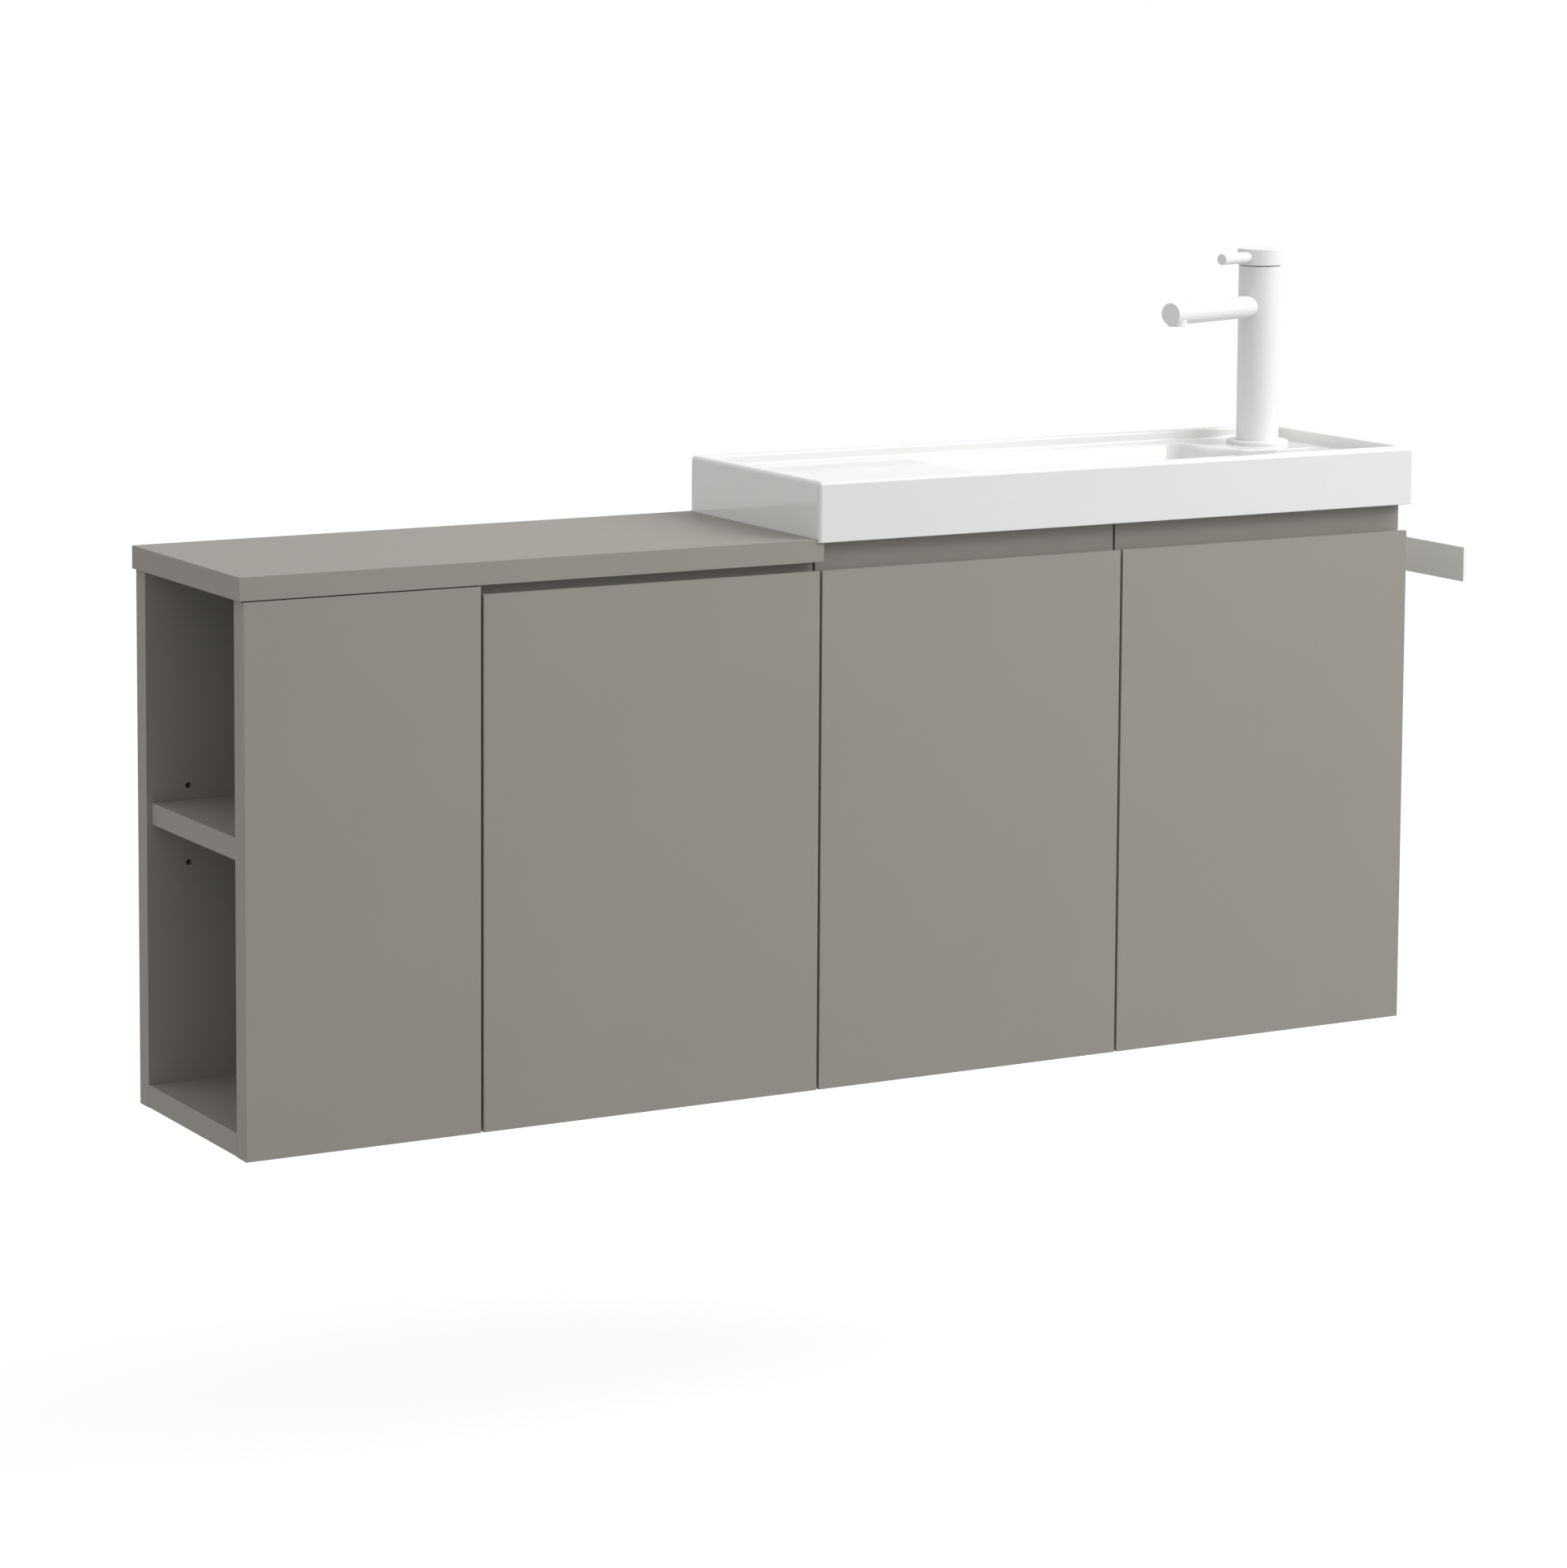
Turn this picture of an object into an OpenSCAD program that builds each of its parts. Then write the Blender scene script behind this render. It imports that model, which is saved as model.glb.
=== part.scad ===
// Wall-hung vanity unit: open niche, one-door cabinet, two-door sink cabinet, basin with tap, towel bar
// All sizes in millimetres. +Z is up, the fronts face -Y and the wall is the plane Y = 0.
// The origin is midway between the two holes of the sink cabinet's wall rail, on the wall.

/* [Cabinets] */
// Depth from the wall to the face of the doors
unit_depth = 220; // [205:5:300]
// Height from the lower edge of the fronts to the top of the worktop
unit_height = 465; // [440:5:600]
// Thickness of every board
board_t = 19; // [16:0.5:22]
// Width of the open niche, outside the left end to the middle cabinet
niche_w = 207; // [170:1:300]
// Width of the middle cabinet
middle_w = 312.5; // [280:0.5:450]
// Width of the sink cabinet
sink_w = 600; // [590:5:620]
// How far the carcasses stand above the lower edge of the doors
carcass_lift = 3; // [1:0.5:8]
// How far the niche floor stands above the lower edge of its panels
niche_lift = 0.5; // [0:0.5:3]
// Height of the shelf's underside above the lower edge of the fronts
shelf_z = 236.6; // [200:0.2:300]
// Thickness of the shelf
shelf_t = 18; // [16:0.5:22]
// How far the worktop passes the niche on the left
worktop_overhang = 3.5; // [0:0.5:10]
// How far the worktop laps onto the sink cabinet under the basin
worktop_lap = 2.5; // [1.5:0.5:5]

/* [Doors] */
// Gap between two neighbouring doors
door_gap = 2.5; // [2.4:0.1:4]
// Air between the back of a closed door and the carcass
bumper_gap = 2; // [1.6:0.1:3]
// Drop from the top of the worktop to the top of the door lip
lip_drop = 26.7; // [24:0.1:40]
// Depth of the finger grip behind the face of the door
grip_depth = 12.6; // [10:0.1:13]
// Thickness of the lip in front of the finger grip
lip_t = 5; // [4:0.5:6]
// How far the finger grip reaches below the lip
grip_h = 16; // [10:1:25]
// Width of the left door of the sink cabinet, from the cabinet's side to the middle of the gap
left_door_w = 298; // [290:0.5:310]
// Air above a closed door
door_top_gap = 2; // [1.5:0.5:4]

/* [Hinges] */
// Diameter of the hinge cup
cup_d = 35; // [30:1:36]
// Depth of the hinge cup
cup_depth = 12; // [10:0.5:12.5]
// Distance of the cup centre from the edge of the door
cup_inset = 22.5; // [21:0.5:26]
// Height of the lower hinge above the lower edge of the door
lower_hinge_z = 80; // [60:5:110]
// Height of the upper hinge above the lower edge of the door
upper_hinge_z = 352; // [300:2:370]

/* [Basin] */
// How far the basin passes the doors at the front
basin_front_lap = 2.5; // [2:0.5:10]
// Height of the basin's apron
basin_h = 51.5; // [48:0.5:70]
// How far the basin passes the sink cabinet on the left
basin_left_lap = 4.2; // [2:0.2:8]
// How far the basin passes the sink cabinet on the right
basin_right_lap = 5.2; // [2:0.2:8]
// Lap of the basin's apron below the top of the worktop
basin_sink_in = 3; // [1:0.5:5]
// Width of the raised rim
rim_w = 12; // [10:0.5:16]
// Drop from the rim to the shelf and the tap deck
rim_drop = 10.3; // [8:0.1:15]
// Drop from the rim to the floor of the bowl
bowl_drop = 55.5; // [50:0.5:70]
// Thickness of the ceramic
ceramic_t = 10; // [8:0.5:11]
// Radius of the outer edges of the basin
basin_edge_r = 4; // [2:0.5:6]
// Left edge of the bowl, from the basin's left end
bowl_left = 205; // [180:1:230]
// Tap axis, from the basin's right end
tap_from_right = 52.7; // [48:0.1:62]
// Tap axis, from the wall
tap_from_wall = 57; // [52:0.5:64]

/* [Tap] */
// Diameter of the tap's body
tap_d = 38.3; // [36:0.1:42]
// Height from the deck to the top of the cap
tap_h = 177.4; // [165:0.2:200]
// Diameter of the cap
cap_d = 40.6; // [38.5:0.1:46]
// Height of the cap
cap_h = 14.8; // [13:0.1:20]
// Gap between the body and the cap
cap_gap = 0.8; // [0.4:0.1:1.5]
// Diameter of the foot ring
foot_d = 55.5; // [50:0.5:60]
// Height of the foot ring
foot_h = 3.4; // [2:0.2:6]
// Diameter of the spout
spout_d = 20; // [18:0.5:22]
// Reach of the spout from the tap axis to its end
spout_reach = 137; // [120:1:150]
// Height of the spout's axis above the deck
spout_z = 125.2; // [100:0.2:135]
// Diameter of the lever
lever_d = 10; // [8:0.5:11]
// Reach of the lever from the tap axis to its end
lever_reach = 60; // [50:1:80]
// Turn of the spout and the lever from the left towards the front
spout_turn = 20; // [0:1:40]

/* [Towel bar] */
// Height of the flat bar
bar_h = 31; // [25:1:40]
// Thickness of the flat bar
bar_t = 3; // [2:0.5:4]
// Distance of the bar's inner face from the cabinet
bar_reach = 70.1; // [60:0.1:90]
// Length of the long leg from the wall to its free end
bar_len = 212; // [150:1:240]
// Drop from the top of the worktop to the bar's lower edge
bar_drop = 77.8; // [60:0.2:130]

/* [Wall fixing] */
// Drop from the top of the worktop to the rail holes
rail_hole_drop = 65; // [60:1:80]
// Distance between the two holes of the sink rail
sink_hole_pitch = 480; // [320:10:500]
// Distance between the two holes of the middle rail
middle_hole_pitch = 200; // [100:10:220]
// Radius of the rail holes
rail_hole_r = 3.5; // [2.5:0.25:4]

/* [Hidden] */

$fn = 64;
eps = 0.01;

// Finishes
greige = "#928e86";
carcass_greige = "#8a867e";
nickel = "#b9bab8";
zinc = "#a5a7a8";
white_glaze = "#efefed";
white_satin = "#ececea";
chrome = "#c8cacc";
white_plastic = "#e6e6e2";
rubber = "#3a3a3a";
beech = "#c9a878";

// Fits
loose_fit = 0.2;
screw_fit = 0.1;
turn_fit = 0.08;
slide_fit = 0.08;

// Planes and edges of the cabinets, from the niche's left end, the wall and the lower edge of the fronts
x_niche = niche_w;
x_middle = niche_w + middle_w;
x_end = x_middle + sink_w;
y_front = -unit_depth;
y_door_back = y_front + board_t;
y_carcass = y_door_back + bumper_gap;
z_top = unit_height;
z_under = unit_height - board_t;
z_carcass = carcass_lift;
z_floor = carcass_lift + board_t;
z_basin = z_top - basin_sink_in;
x_basin = x_middle - basin_left_lap;
z_rim = z_basin + basin_h;
z_deck = z_rim - rim_drop;
z_bowl = z_rim - bowl_drop;
x_worktop_end = x_middle + worktop_lap;
x_rail_mid = x_middle + sink_w / 2;
rail_hole_z = unit_height - rail_hole_drop;

// Doors
z_lip = z_top - lip_drop;
y_strip = y_front + grip_depth;
grip_w = grip_depth - lip_t;
x_split = x_middle + left_door_w;
pivot_in = 2.5;
hinge_heights = [lower_hinge_z, upper_hinge_z];
cup_wall = 1.4;
cup_floor = 1;
flange_t = 1.2;
flange_half = 30;
flange_r = 6.5;
cup_screw_r = 1.75;
cup_screw_l = 9;
cup_screw_head_r = 3.4;
cup_screw_pitch = 48;
cup_screw_inset = 9.5;
arm_w = 16;
arm_t = 9;
arm_wall = 1.6;
arm_len = 58;
arm_air = 1;
nose_w = 9;
nose_in = 3;
link_pin_r = 1.2;
plate_t = 2.4;
plate_h = 50;
plate_w = 16;
plate_setback = 37;
plate_pitch = 32;
plate_nose = 8;
boss_air = 0.5;
plate_screw_r = 2.5;
plate_screw_l = 12;
plate_screw_head_r = 4;
plate_screw_head_t = 1.8;
arm_screw_r = 2;
bumper_r = 4;
bumper_air = 0.2;
bumper_end = 30;
bumper_side = 14;

// Shelf pins, on a row of holes at a 32 mm pitch
pin_r = 2.5;
pin_in = 9;
pin_out = 8;
pin_setback = 37;
pin_pitch = 32;
pin_hole_l = 10;
shelf_air = 0.5;
shelf_setback = 4;
top_rail_w = 80;
pin_row_z = [shelf_z - pin_r - pin_pitch, shelf_z - pin_r, shelf_z - pin_r + pin_pitch];
pin_row_x = [pin_setback, x_niche - board_t - pin_setback];

// Wall rails and hanging brackets
rail_t = 2;
rail_gap = 4.2;
rail_drop = 16;
rail_rise = 18;
lip_rise = 8;
rail_end_air = 2;
bracket_w = 15;
bracket_y0 = -60;
bracket_y1 = -20;
bracket_wall = 2;
hook_t = 3;
hook_tip = 7;
hook_h = 6;
bracket_top = 9;
bracket_foot = 6;
bracket_screw_r = 1.75;
bracket_screw_in = 11;
bracket_screw_up = 22;
bracket_screw_edge = 10;
rear_rail_h = 60;
rear_rail_y = -15;
rear_rail_drop = 8;
z_lip_top = rail_hole_z + rail_rise + lip_rise;
bracket_z0 = rail_hole_z - bracket_foot;
bracket_z1 = z_lip_top + bracket_top;
z_rear_rail = rail_hole_z - rail_drop - rear_rail_drop - rear_rail_h;
adjuster_r = 3.5;
adjuster_up = 10;
adjuster_l = 10;
adjuster_out = 1.5;
hook_air = 0.4;
hook_tip_t = 2.8;

// Bowl and waste
x_bowl = x_basin + bowl_left;
x_basin_end = x_end + basin_right_lap;
basin_w = x_basin_end - x_basin;
basin_d = unit_depth + basin_front_lap;
x_tap = x_basin_end - tap_from_right;
y_tap = -tap_from_wall;
x_waste = x_bowl + 155;
y_waste = -104;
waste_r = 22;
waste_flange_r = 31;
waste_flange_t = 2.5;
waste_bore_r = 18;
waste_tail = 62;
waste_hole_air = 0.5;
waste_nut_h = 10;
gasket_t = 3;
cross_w = 6;
cross_t = 4;
cross_hub_r = 8;
plug_r = 28;
plug_air = 0.3;
plug_edge = 3;
plug_t = 4;
plug_stem_r = 4;
plug_stem_l = 34;
waste_cross_drop = 22;
tailpipe_r = 16;
tailpipe_wall = 1.5;
bottle_r = 30;
bottle_wall = 3;
bottle_h = 90;
bottle_over = 28;
neck_h = 10;
spigot_out = 14;
nut_h = 14;
nut_wall = 8;
tail_nut_h = 16;
tail_in = 12;
dip_air = 20;
cup_h = 26;
cup_in = 8;
waste_drop = 220;
z_outlet = z_bowl - waste_drop;
outlet_out = 40;
bead_t = 2;
escutcheon_r = 34;
escutcheon_t = 9;
escutcheon_neck = 6;
escutcheon_wall = 2;

// Tap
tap_hole_r = 17.5;
tap_shank_r = 16;
tap_shank_l = 36;
cartridge_r = 14.9;
cartridge_h = 42;
tap_stem_r = 4;
aerator_r = 8.7;
aerator_out = 1.2;
aerator_back = 10.5;
aerator_h = 9;
aerator_rim = 2;
jet_r = 1;
jet_ring_r = 3.2;
foot_edge = 0.8;
cap_edge = 0.6;
lever_in = 8;
spout_wall = 3;
inlet_r = 5;
inlet_pitch = 14;
inlet_l = 26;
way_r = 9;
way_drop = tap_shank_l - inlet_l;
stem_in = 16;
stem_up = 5;
nut_t = 10;
nut_r = 23;
washer_r = 24;
washer_t = 2;
tap_top = tap_h - cap_h - cap_gap;

// The working frame is the niche's left end, the wall and the lower edge of the fronts
module placed() {
    translate([-x_rail_mid, 0, -rail_hole_z]) children();
}

// A board or block between two corners
module block(x0, x1, y0, y1, z0, z1) {
    translate([x0, y0, z0]) cube([x1 - x0, y1 - y0, z1 - z0]);
}

// A cylinder from a point along +X, +Y or -Y
module along_x(x, y, z, r, l) {
    translate([x, y, z]) rotate([0, 90, 0]) cylinder(r = r, h = l);
}
module along_y(x, y, z, r, l) {
    translate([x, y, z]) rotate([-90, 0, 0]) cylinder(r = r, h = l);
}

// Rows of holes that carry the shelf, drilled into a face at y, towards +Y or -Y
module pin_row(y, dir) {
    for (x = pin_row_x, z = pin_row_z)
        along_y(x, dir > 0 ? y - eps : y - pin_hole_l, z, pin_r + screw_fit, pin_hole_l + eps);
}

module niche_front_panel() {
    color(greige) placed() difference() {
        block(0, x_niche - door_gap / 2, y_front, y_door_back, 0, z_under - 1);
        pin_row(y_door_back + eps, -1);
        dowel_bores();
    }
}

module niche_back_panel() {
    color(greige) placed() difference() {
        block(0, x_niche - board_t, -board_t, 0, 0, z_under);
        pin_row(-board_t, 1);
        dowel_bores();
    }
}

module niche_side_panel() {
    color(greige) placed() difference() {
        block(x_niche - board_t, x_niche, y_door_back, 0, niche_lift, z_under);
        dowel_bores();
        joining_bores();
    }
}

module niche_bottom_panel() {
    color(greige) placed() difference() {
        block(0, x_niche - board_t, y_door_back, -board_t, niche_lift, niche_lift + board_t);
        dowel_bores();
    }
}

module niche_shelf() {
    color(greige) placed()
        block(shelf_setback, x_niche - board_t - shelf_air, y_door_back + shelf_air, -board_t - shelf_air,
            shelf_z, shelf_z + shelf_t);
}

module shelf_pins() {
    color(nickel) placed() for (x = pin_row_x) {
        along_y(x, y_door_back - pin_in, shelf_z - pin_r, pin_r, pin_in + pin_out);
        along_y(x, -board_t - pin_out, shelf_z - pin_r, pin_r, pin_in + pin_out);
    }
}

module worktop() {
    color(greige) placed() difference() {
        block(-worktop_overhang, x_worktop_end, y_front - 0.2, 0, z_under, z_top);
        dowel_bores();
    }
}

// Dowels: each is [x, y, z, axis], with its middle on the joint
dowel_r = 4;
dowel_l = 30;
dowel_bottom_z = niche_lift + board_t / 2;
dowel_inset = 40;
dowel_rise = 60;
dowel_side_z = [dowel_rise, unit_height / 2, z_under - dowel_rise];
x_side_mid = x_niche - board_t / 2;
dowels_y = [for (x = [dowel_inset, x_niche - board_t - dowel_inset], y = [y_door_back, -board_t])
    [x, y, dowel_bottom_z]];
dowels_side = [for (z = dowel_side_z) [x_side_mid, y_door_back, z]];
dowels_back = [for (z = dowel_side_z) [x_niche - board_t, -board_t / 2, z]];
dowels_top = [for (x = [dowel_rise, x_niche - board_t - dowel_rise]) [x, -board_t / 2, z_under]];

module dowel_set(r, l) {
    for (p = concat(dowels_y, dowels_side))
        translate(p) rotate([90, 0, 0]) cylinder(r = r, h = l, center = true);
    for (p = dowels_back) translate(p) rotate([0, 90, 0]) cylinder(r = r, h = l, center = true);
    for (p = dowels_top) translate(p) cylinder(r = r, h = l, center = true);
}

module dowel_bores() {
    dowel_set(dowel_r + screw_fit, dowel_l + 1);
}

module panel_dowels() {
    color(beech) placed() dowel_set(dowel_r, dowel_l);
}

// Bolts through both sides join the two carcasses, and blind screws hold the niche from inside
bolt_r = 2.5;
bolt_head_r = 7;
bolt_head_t = 2.5;
niche_screw_in = 13;
bolt_z = [lower_hinge_z + plate_h, upper_hinge_z - plate_h];
bolt_y = [y_carcass * 0.35, y_carcass * 0.75];

module joining_bolts() {
    color(nickel) placed() for (y = bolt_y, z = bolt_z) {
        along_x(x_niche - niche_screw_in, y, z, bolt_r, niche_screw_in + board_t);
        along_x(x_niche + board_t, y, z, bolt_head_r, bolt_head_t);
        along_x(x_middle - board_t, y, z, bolt_r, 2 * board_t);
        along_x(x_middle - board_t - bolt_head_t, y, z, bolt_head_r, bolt_head_t);
        along_x(x_middle + board_t, y, z, bolt_head_r, bolt_head_t);
    }
}

module joining_bores() {
    for (y = bolt_y, z = bolt_z) {
        along_x(x_niche - niche_screw_in - 1, y, z, bolt_r + screw_fit, niche_screw_in + board_t + 2);
        along_x(x_middle - board_t - 1, y, z, bolt_r + screw_fit, 2 * board_t + 2);
    }
}

module middle_left_side() {
    color(carcass_greige) placed() difference() {
        block(x_niche, x_niche + board_t, y_carcass, 0, z_carcass, z_under);
        joining_bores();
        bracket_screw_bores();
    }
}

module middle_right_side() {
    color(carcass_greige) placed() difference() {
        block(x_middle - board_t, x_middle, y_carcass, 0, z_carcass, z_under);
        joining_bores();
        bracket_screw_bores();
        plate_screw_set(screw_fit);
    }
}

module middle_bottom_panel() {
    color(carcass_greige) placed()
        block(x_niche + board_t, x_middle - board_t, y_carcass, 0, z_carcass, z_floor);
}

module middle_top_rail() {
    color(carcass_greige) placed()
        block(x_niche + board_t, x_middle - board_t, y_carcass, y_carcass + top_rail_w,
            z_under - board_t, z_under);
}

module middle_rear_rail() {
    color(carcass_greige) placed()
        block(x_niche + board_t, x_middle - board_t, rear_rail_y - board_t, rear_rail_y,
            z_rear_rail, z_rear_rail + rear_rail_h);
}

module sink_left_side() {
    color(carcass_greige) placed() difference() {
        block(x_middle, x_middle + board_t, y_carcass, 0, z_carcass, z_basin);
        block(x_middle - 1, x_worktop_end + loose_fit, y_carcass - 1, 1, z_under, z_basin + 1);
        joining_bores();
        bracket_screw_bores();
        plate_screw_set(screw_fit);
    }
}

module sink_right_side() {
    color(carcass_greige) placed() difference() {
        block(x_end - board_t, x_end, y_carcass, 0, z_carcass, z_basin);
        bracket_screw_bores();
        plate_screw_set(screw_fit);
        towel_screw_set(screw_fit);
    }
}

module sink_bottom_panel() {
    color(carcass_greige) placed()
        block(x_middle + board_t, x_end - board_t, y_carcass, 0, z_carcass, z_floor);
}

module sink_rear_rail() {
    color(carcass_greige) placed()
        block(x_middle + board_t, x_end - board_t, rear_rail_y - board_t, rear_rail_y,
            z_rear_rail, z_rear_rail + rear_rail_h);
}

// Door section: a plain board whose top edge is cut back to a lip, a finger grip and a thin back
module door_section(top) {
    grip_floor = z_lip - grip_h + grip_w / 2;
    difference() {
        translate([y_front, 0]) square([board_t, top]);
        translate([y_front - 1, z_lip]) square([grip_depth + 1, top]);
        translate([y_front + lip_t, grip_floor]) square([grip_w, top]);
        translate([y_front + lip_t + grip_w / 2, grip_floor]) circle(d = grip_w);
    }
}

// Door between two edges, with bores for the cups and their screws on the hinge side
module door(x0, x1, top, side) {
    difference() {
        translate([x0, 0, 0]) rotate([90, 0, 90]) linear_extrude(height = x1 - x0) door_section(top);
        at_hinges(side > 0 ? x0 : x1, side) {
            translate([cup_inset, eps, 0]) rotate([90, 0, 0]) cylinder(d = cup_d, h = cup_depth + loose_fit);
            cup_screw_pair(cup_screw_r + screw_fit, cup_screw_l + 1);
        }
    }
}

x_middle_door = [x_niche + door_gap / 2, x_middle - door_gap / 2];
x_left_door = [x_middle + door_gap / 2, x_split - door_gap / 2];
x_right_door = [x_split + door_gap / 2, x_end];

module middle_door() {
    color(greige) placed() door(x_middle_door[0], x_middle_door[1], z_under - door_top_gap, -1);
}

// The thin back of this door steps down beside the end of the worktop
module left_sink_door() {
    color(greige) placed() difference() {
        door(x_left_door[0], x_left_door[1], z_basin - door_top_gap, 1);
        block(x_left_door[0] - 1, x_worktop_end + door_top_gap, y_front - 1, y_door_back + 1,
            z_under - door_top_gap, z_basin);
    }
}

module right_sink_door() {
    color(greige) placed() door(x_right_door[0], x_right_door[1], z_basin - door_top_gap, -1);
}

// Puts a hinge part at both hinges of a door: x runs inward from the door's edge, y from its back to the wall
module at_hinges(edge_x, side) {
    for (z = hinge_heights)
        translate([edge_x, y_door_back, z]) mirror([side > 0 ? 0 : 1, 0, 0]) children();
}

module cup_screw_pair(r, l) {
    for (s = [-1, 1])
        translate([cup_inset + cup_screw_inset, eps, s * cup_screw_pitch / 2])
            rotate([90, 0, 0]) cylinder(r = r, h = l);
}

// Steel cup with its screwed flange and the cross pin that the links turn on
module hinge_cup() {
    inner_r = cup_d / 2 - screw_fit - cup_wall;
    difference() {
        union() {
            translate([cup_inset, 0, 0]) rotate([90, 0, 0])
                cylinder(r = cup_d / 2 - screw_fit, h = cup_depth);
            translate([cup_inset, flange_t, 0]) rotate([90, 0, 0])
                cylinder(r = cup_d / 2 + 1, h = flange_t);
            translate([cup_inset, flange_t, 0]) rotate([90, 0, 0]) linear_extrude(height = flange_t)
                translate([0, -flange_half]) square([cup_screw_inset + flange_r, 2 * flange_half]);
        }
        translate([cup_inset, flange_t + eps, 0]) rotate([90, 0, 0])
            cylinder(r = inner_r, h = cup_depth + flange_t - cup_floor);
        translate([0, flange_t, 0]) cup_screw_pair(cup_screw_r + screw_fit, flange_t + 1);
    }
    translate([cup_inset - inner_r * 0.72, -cup_depth * 0.6, -inner_r * 0.75])
        cylinder(r = link_pin_r, h = inner_r * 1.5);
}

module middle_hinge_cups() {
    color(nickel) placed() at_hinges(x_middle_door[1], -1) hinge_cup();
}

module left_hinge_cups() {
    color(nickel) placed() at_hinges(x_left_door[0], 1) hinge_cup();
}

module right_hinge_cups() {
    color(nickel) placed() at_hinges(x_right_door[1], -1) hinge_cup();
}

// Countersunk look kept simple: a pan head on the flange and a shank in the door
module cup_screw_shapes() {
    cup_screw_pair(cup_screw_r, cup_screw_l);
    translate([0, 2 * flange_t, 0]) cup_screw_pair(cup_screw_head_r, flange_t);
    translate([0, flange_t, 0]) cup_screw_pair(cup_screw_r, flange_t + 1);
}

module middle_cup_screws() {
    color(zinc) placed() at_hinges(x_middle_door[1], -1) cup_screw_shapes();
}

module left_cup_screws() {
    color(zinc) placed() at_hinges(x_left_door[0], 1) cup_screw_shapes();
}

module right_cup_screws() {
    color(zinc) placed() at_hinges(x_right_door[1], -1) cup_screw_shapes();
}

// Inner face of the cabinet side, measured from the door's edge
function side_in(reveal) = board_t - reveal;
hinge_sides = [[x_middle_door[1], -1, door_gap / 2], [x_left_door[0], 1, door_gap / 2],
    [x_right_door[1], -1, 0]];

// Channel-shaped arm with a narrow nose that reaches into the cup
module hinge_arm(reveal) {
    x0 = side_in(reveal) + plate_t;
    difference() {
        union() {
            translate([x0, bumper_gap + arm_air, -arm_w / 2]) cube([arm_t, arm_len, arm_w]);
            translate([x0 + arm_air, -nose_in, -nose_w / 2])
                cube([arm_t - nose_in, nose_in + bumper_gap + 2 * arm_air, nose_w]);
        }
        translate([x0 - 1, bumper_gap + 2 * arm_air + arm_wall, -arm_w / 2 + arm_wall])
            cube([arm_t + 1 - arm_wall, arm_len, arm_w - 2 * arm_wall]);
        arm_screw_at(reveal) cylinder(r = arm_screw_r + screw_fit, h = arm_t + 1);
    }
}

module hinge_arms() {
    color(nickel) placed() for (h = hinge_sides) at_hinges(h[0], h[1]) hinge_arm(h[2]);
}

// Cross-shaped mounting plate with the boss that holds the arm
module hinge_plate(reveal) {
    y0 = bumper_gap + plate_setback - plate_w / 2;
    boss_w = arm_w - 2 * arm_wall - arm_air;
    difference() {
        union() {
            translate([side_in(reveal), y0, -plate_h / 2]) cube([plate_t, plate_w, plate_h]);
            translate([side_in(reveal), bumper_gap + plate_nose, -arm_w / 2])
                cube([plate_t, arm_len - 1.5 * plate_nose, arm_w]);
            translate([side_in(reveal), y0 - plate_nose / 2, -boss_w / 2])
                cube([plate_t + arm_t - arm_wall - boss_air, plate_w + plate_nose, boss_w]);
        }
        plate_screw_pair(reveal, plate_screw_r + screw_fit);
        arm_screw_at(reveal) cylinder(r = arm_screw_r + screw_fit, h = arm_t + 1);
    }
}

// Screw that clamps the arm on its plate
module arm_screw_at(reveal) {
    translate([side_in(reveal) + plate_t, bumper_gap + plate_setback, 0]) rotate([0, 90, 0]) children();
}

module hinge_plates() {
    color(nickel) placed() for (h = hinge_sides) at_hinges(h[0], h[1]) hinge_plate(h[2]);
}

module plate_screw_pair(reveal, r) {
    for (s = [-1, 1])
        translate([side_in(reveal) - plate_screw_l, bumper_gap + plate_setback, s * plate_pitch / 2])
            rotate([0, 90, 0]) cylinder(r = r, h = plate_screw_l + plate_t + 1);
}

module plate_screw_set(fit) {
    for (h = hinge_sides) at_hinges(h[0], h[1]) plate_screw_pair(h[2], plate_screw_r + fit);
}

module hinge_plate_screws() {
    color(zinc) placed() {
        plate_screw_set(0);
        for (h = hinge_sides) at_hinges(h[0], h[1]) {
            for (s = [-1, 1])
                translate([side_in(h[2]) + plate_t, bumper_gap + plate_setback, s * plate_pitch / 2])
                    rotate([0, 90, 0]) cylinder(r = plate_screw_head_r, h = plate_screw_head_t);
            arm_screw_at(h[2]) cylinder(r = arm_screw_r, h = arm_t);
            arm_screw_at(h[2]) translate([0, 0, arm_t]) cylinder(r = 2 * arm_screw_r, h = plate_screw_head_t);
        }
    }
}

module door_bumpers() {
    bumper_t = bumper_gap - bumper_air;
    color(white_plastic) placed() {
        for (z = [z_carcass + bumper_end, z_under - bumper_end])
            along_y(x_niche + board_t / 2, y_carcass - bumper_t, z, bumper_r, bumper_t);
        for (x = [x_split - bumper_side, x_split + bumper_side])
            along_y(x, y_carcass - bumper_t, z_carcass + board_t / 2, bumper_r, bumper_t);
    }
}

// Hanging brackets: one in each upper rear corner, against a cabinet side
bracket_places = [[x_niche + board_t, 1], [x_middle - board_t, -1], [x_middle + board_t, 1],
    [x_end - board_t, -1]];

module at_brackets() {
    for (p = bracket_places) translate([p[0], 0, 0]) mirror([p[1] > 0 ? 0 : 1, 0, 0]) children();
}

hook_x = bracket_w / 2 - hook_t / 2;

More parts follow.
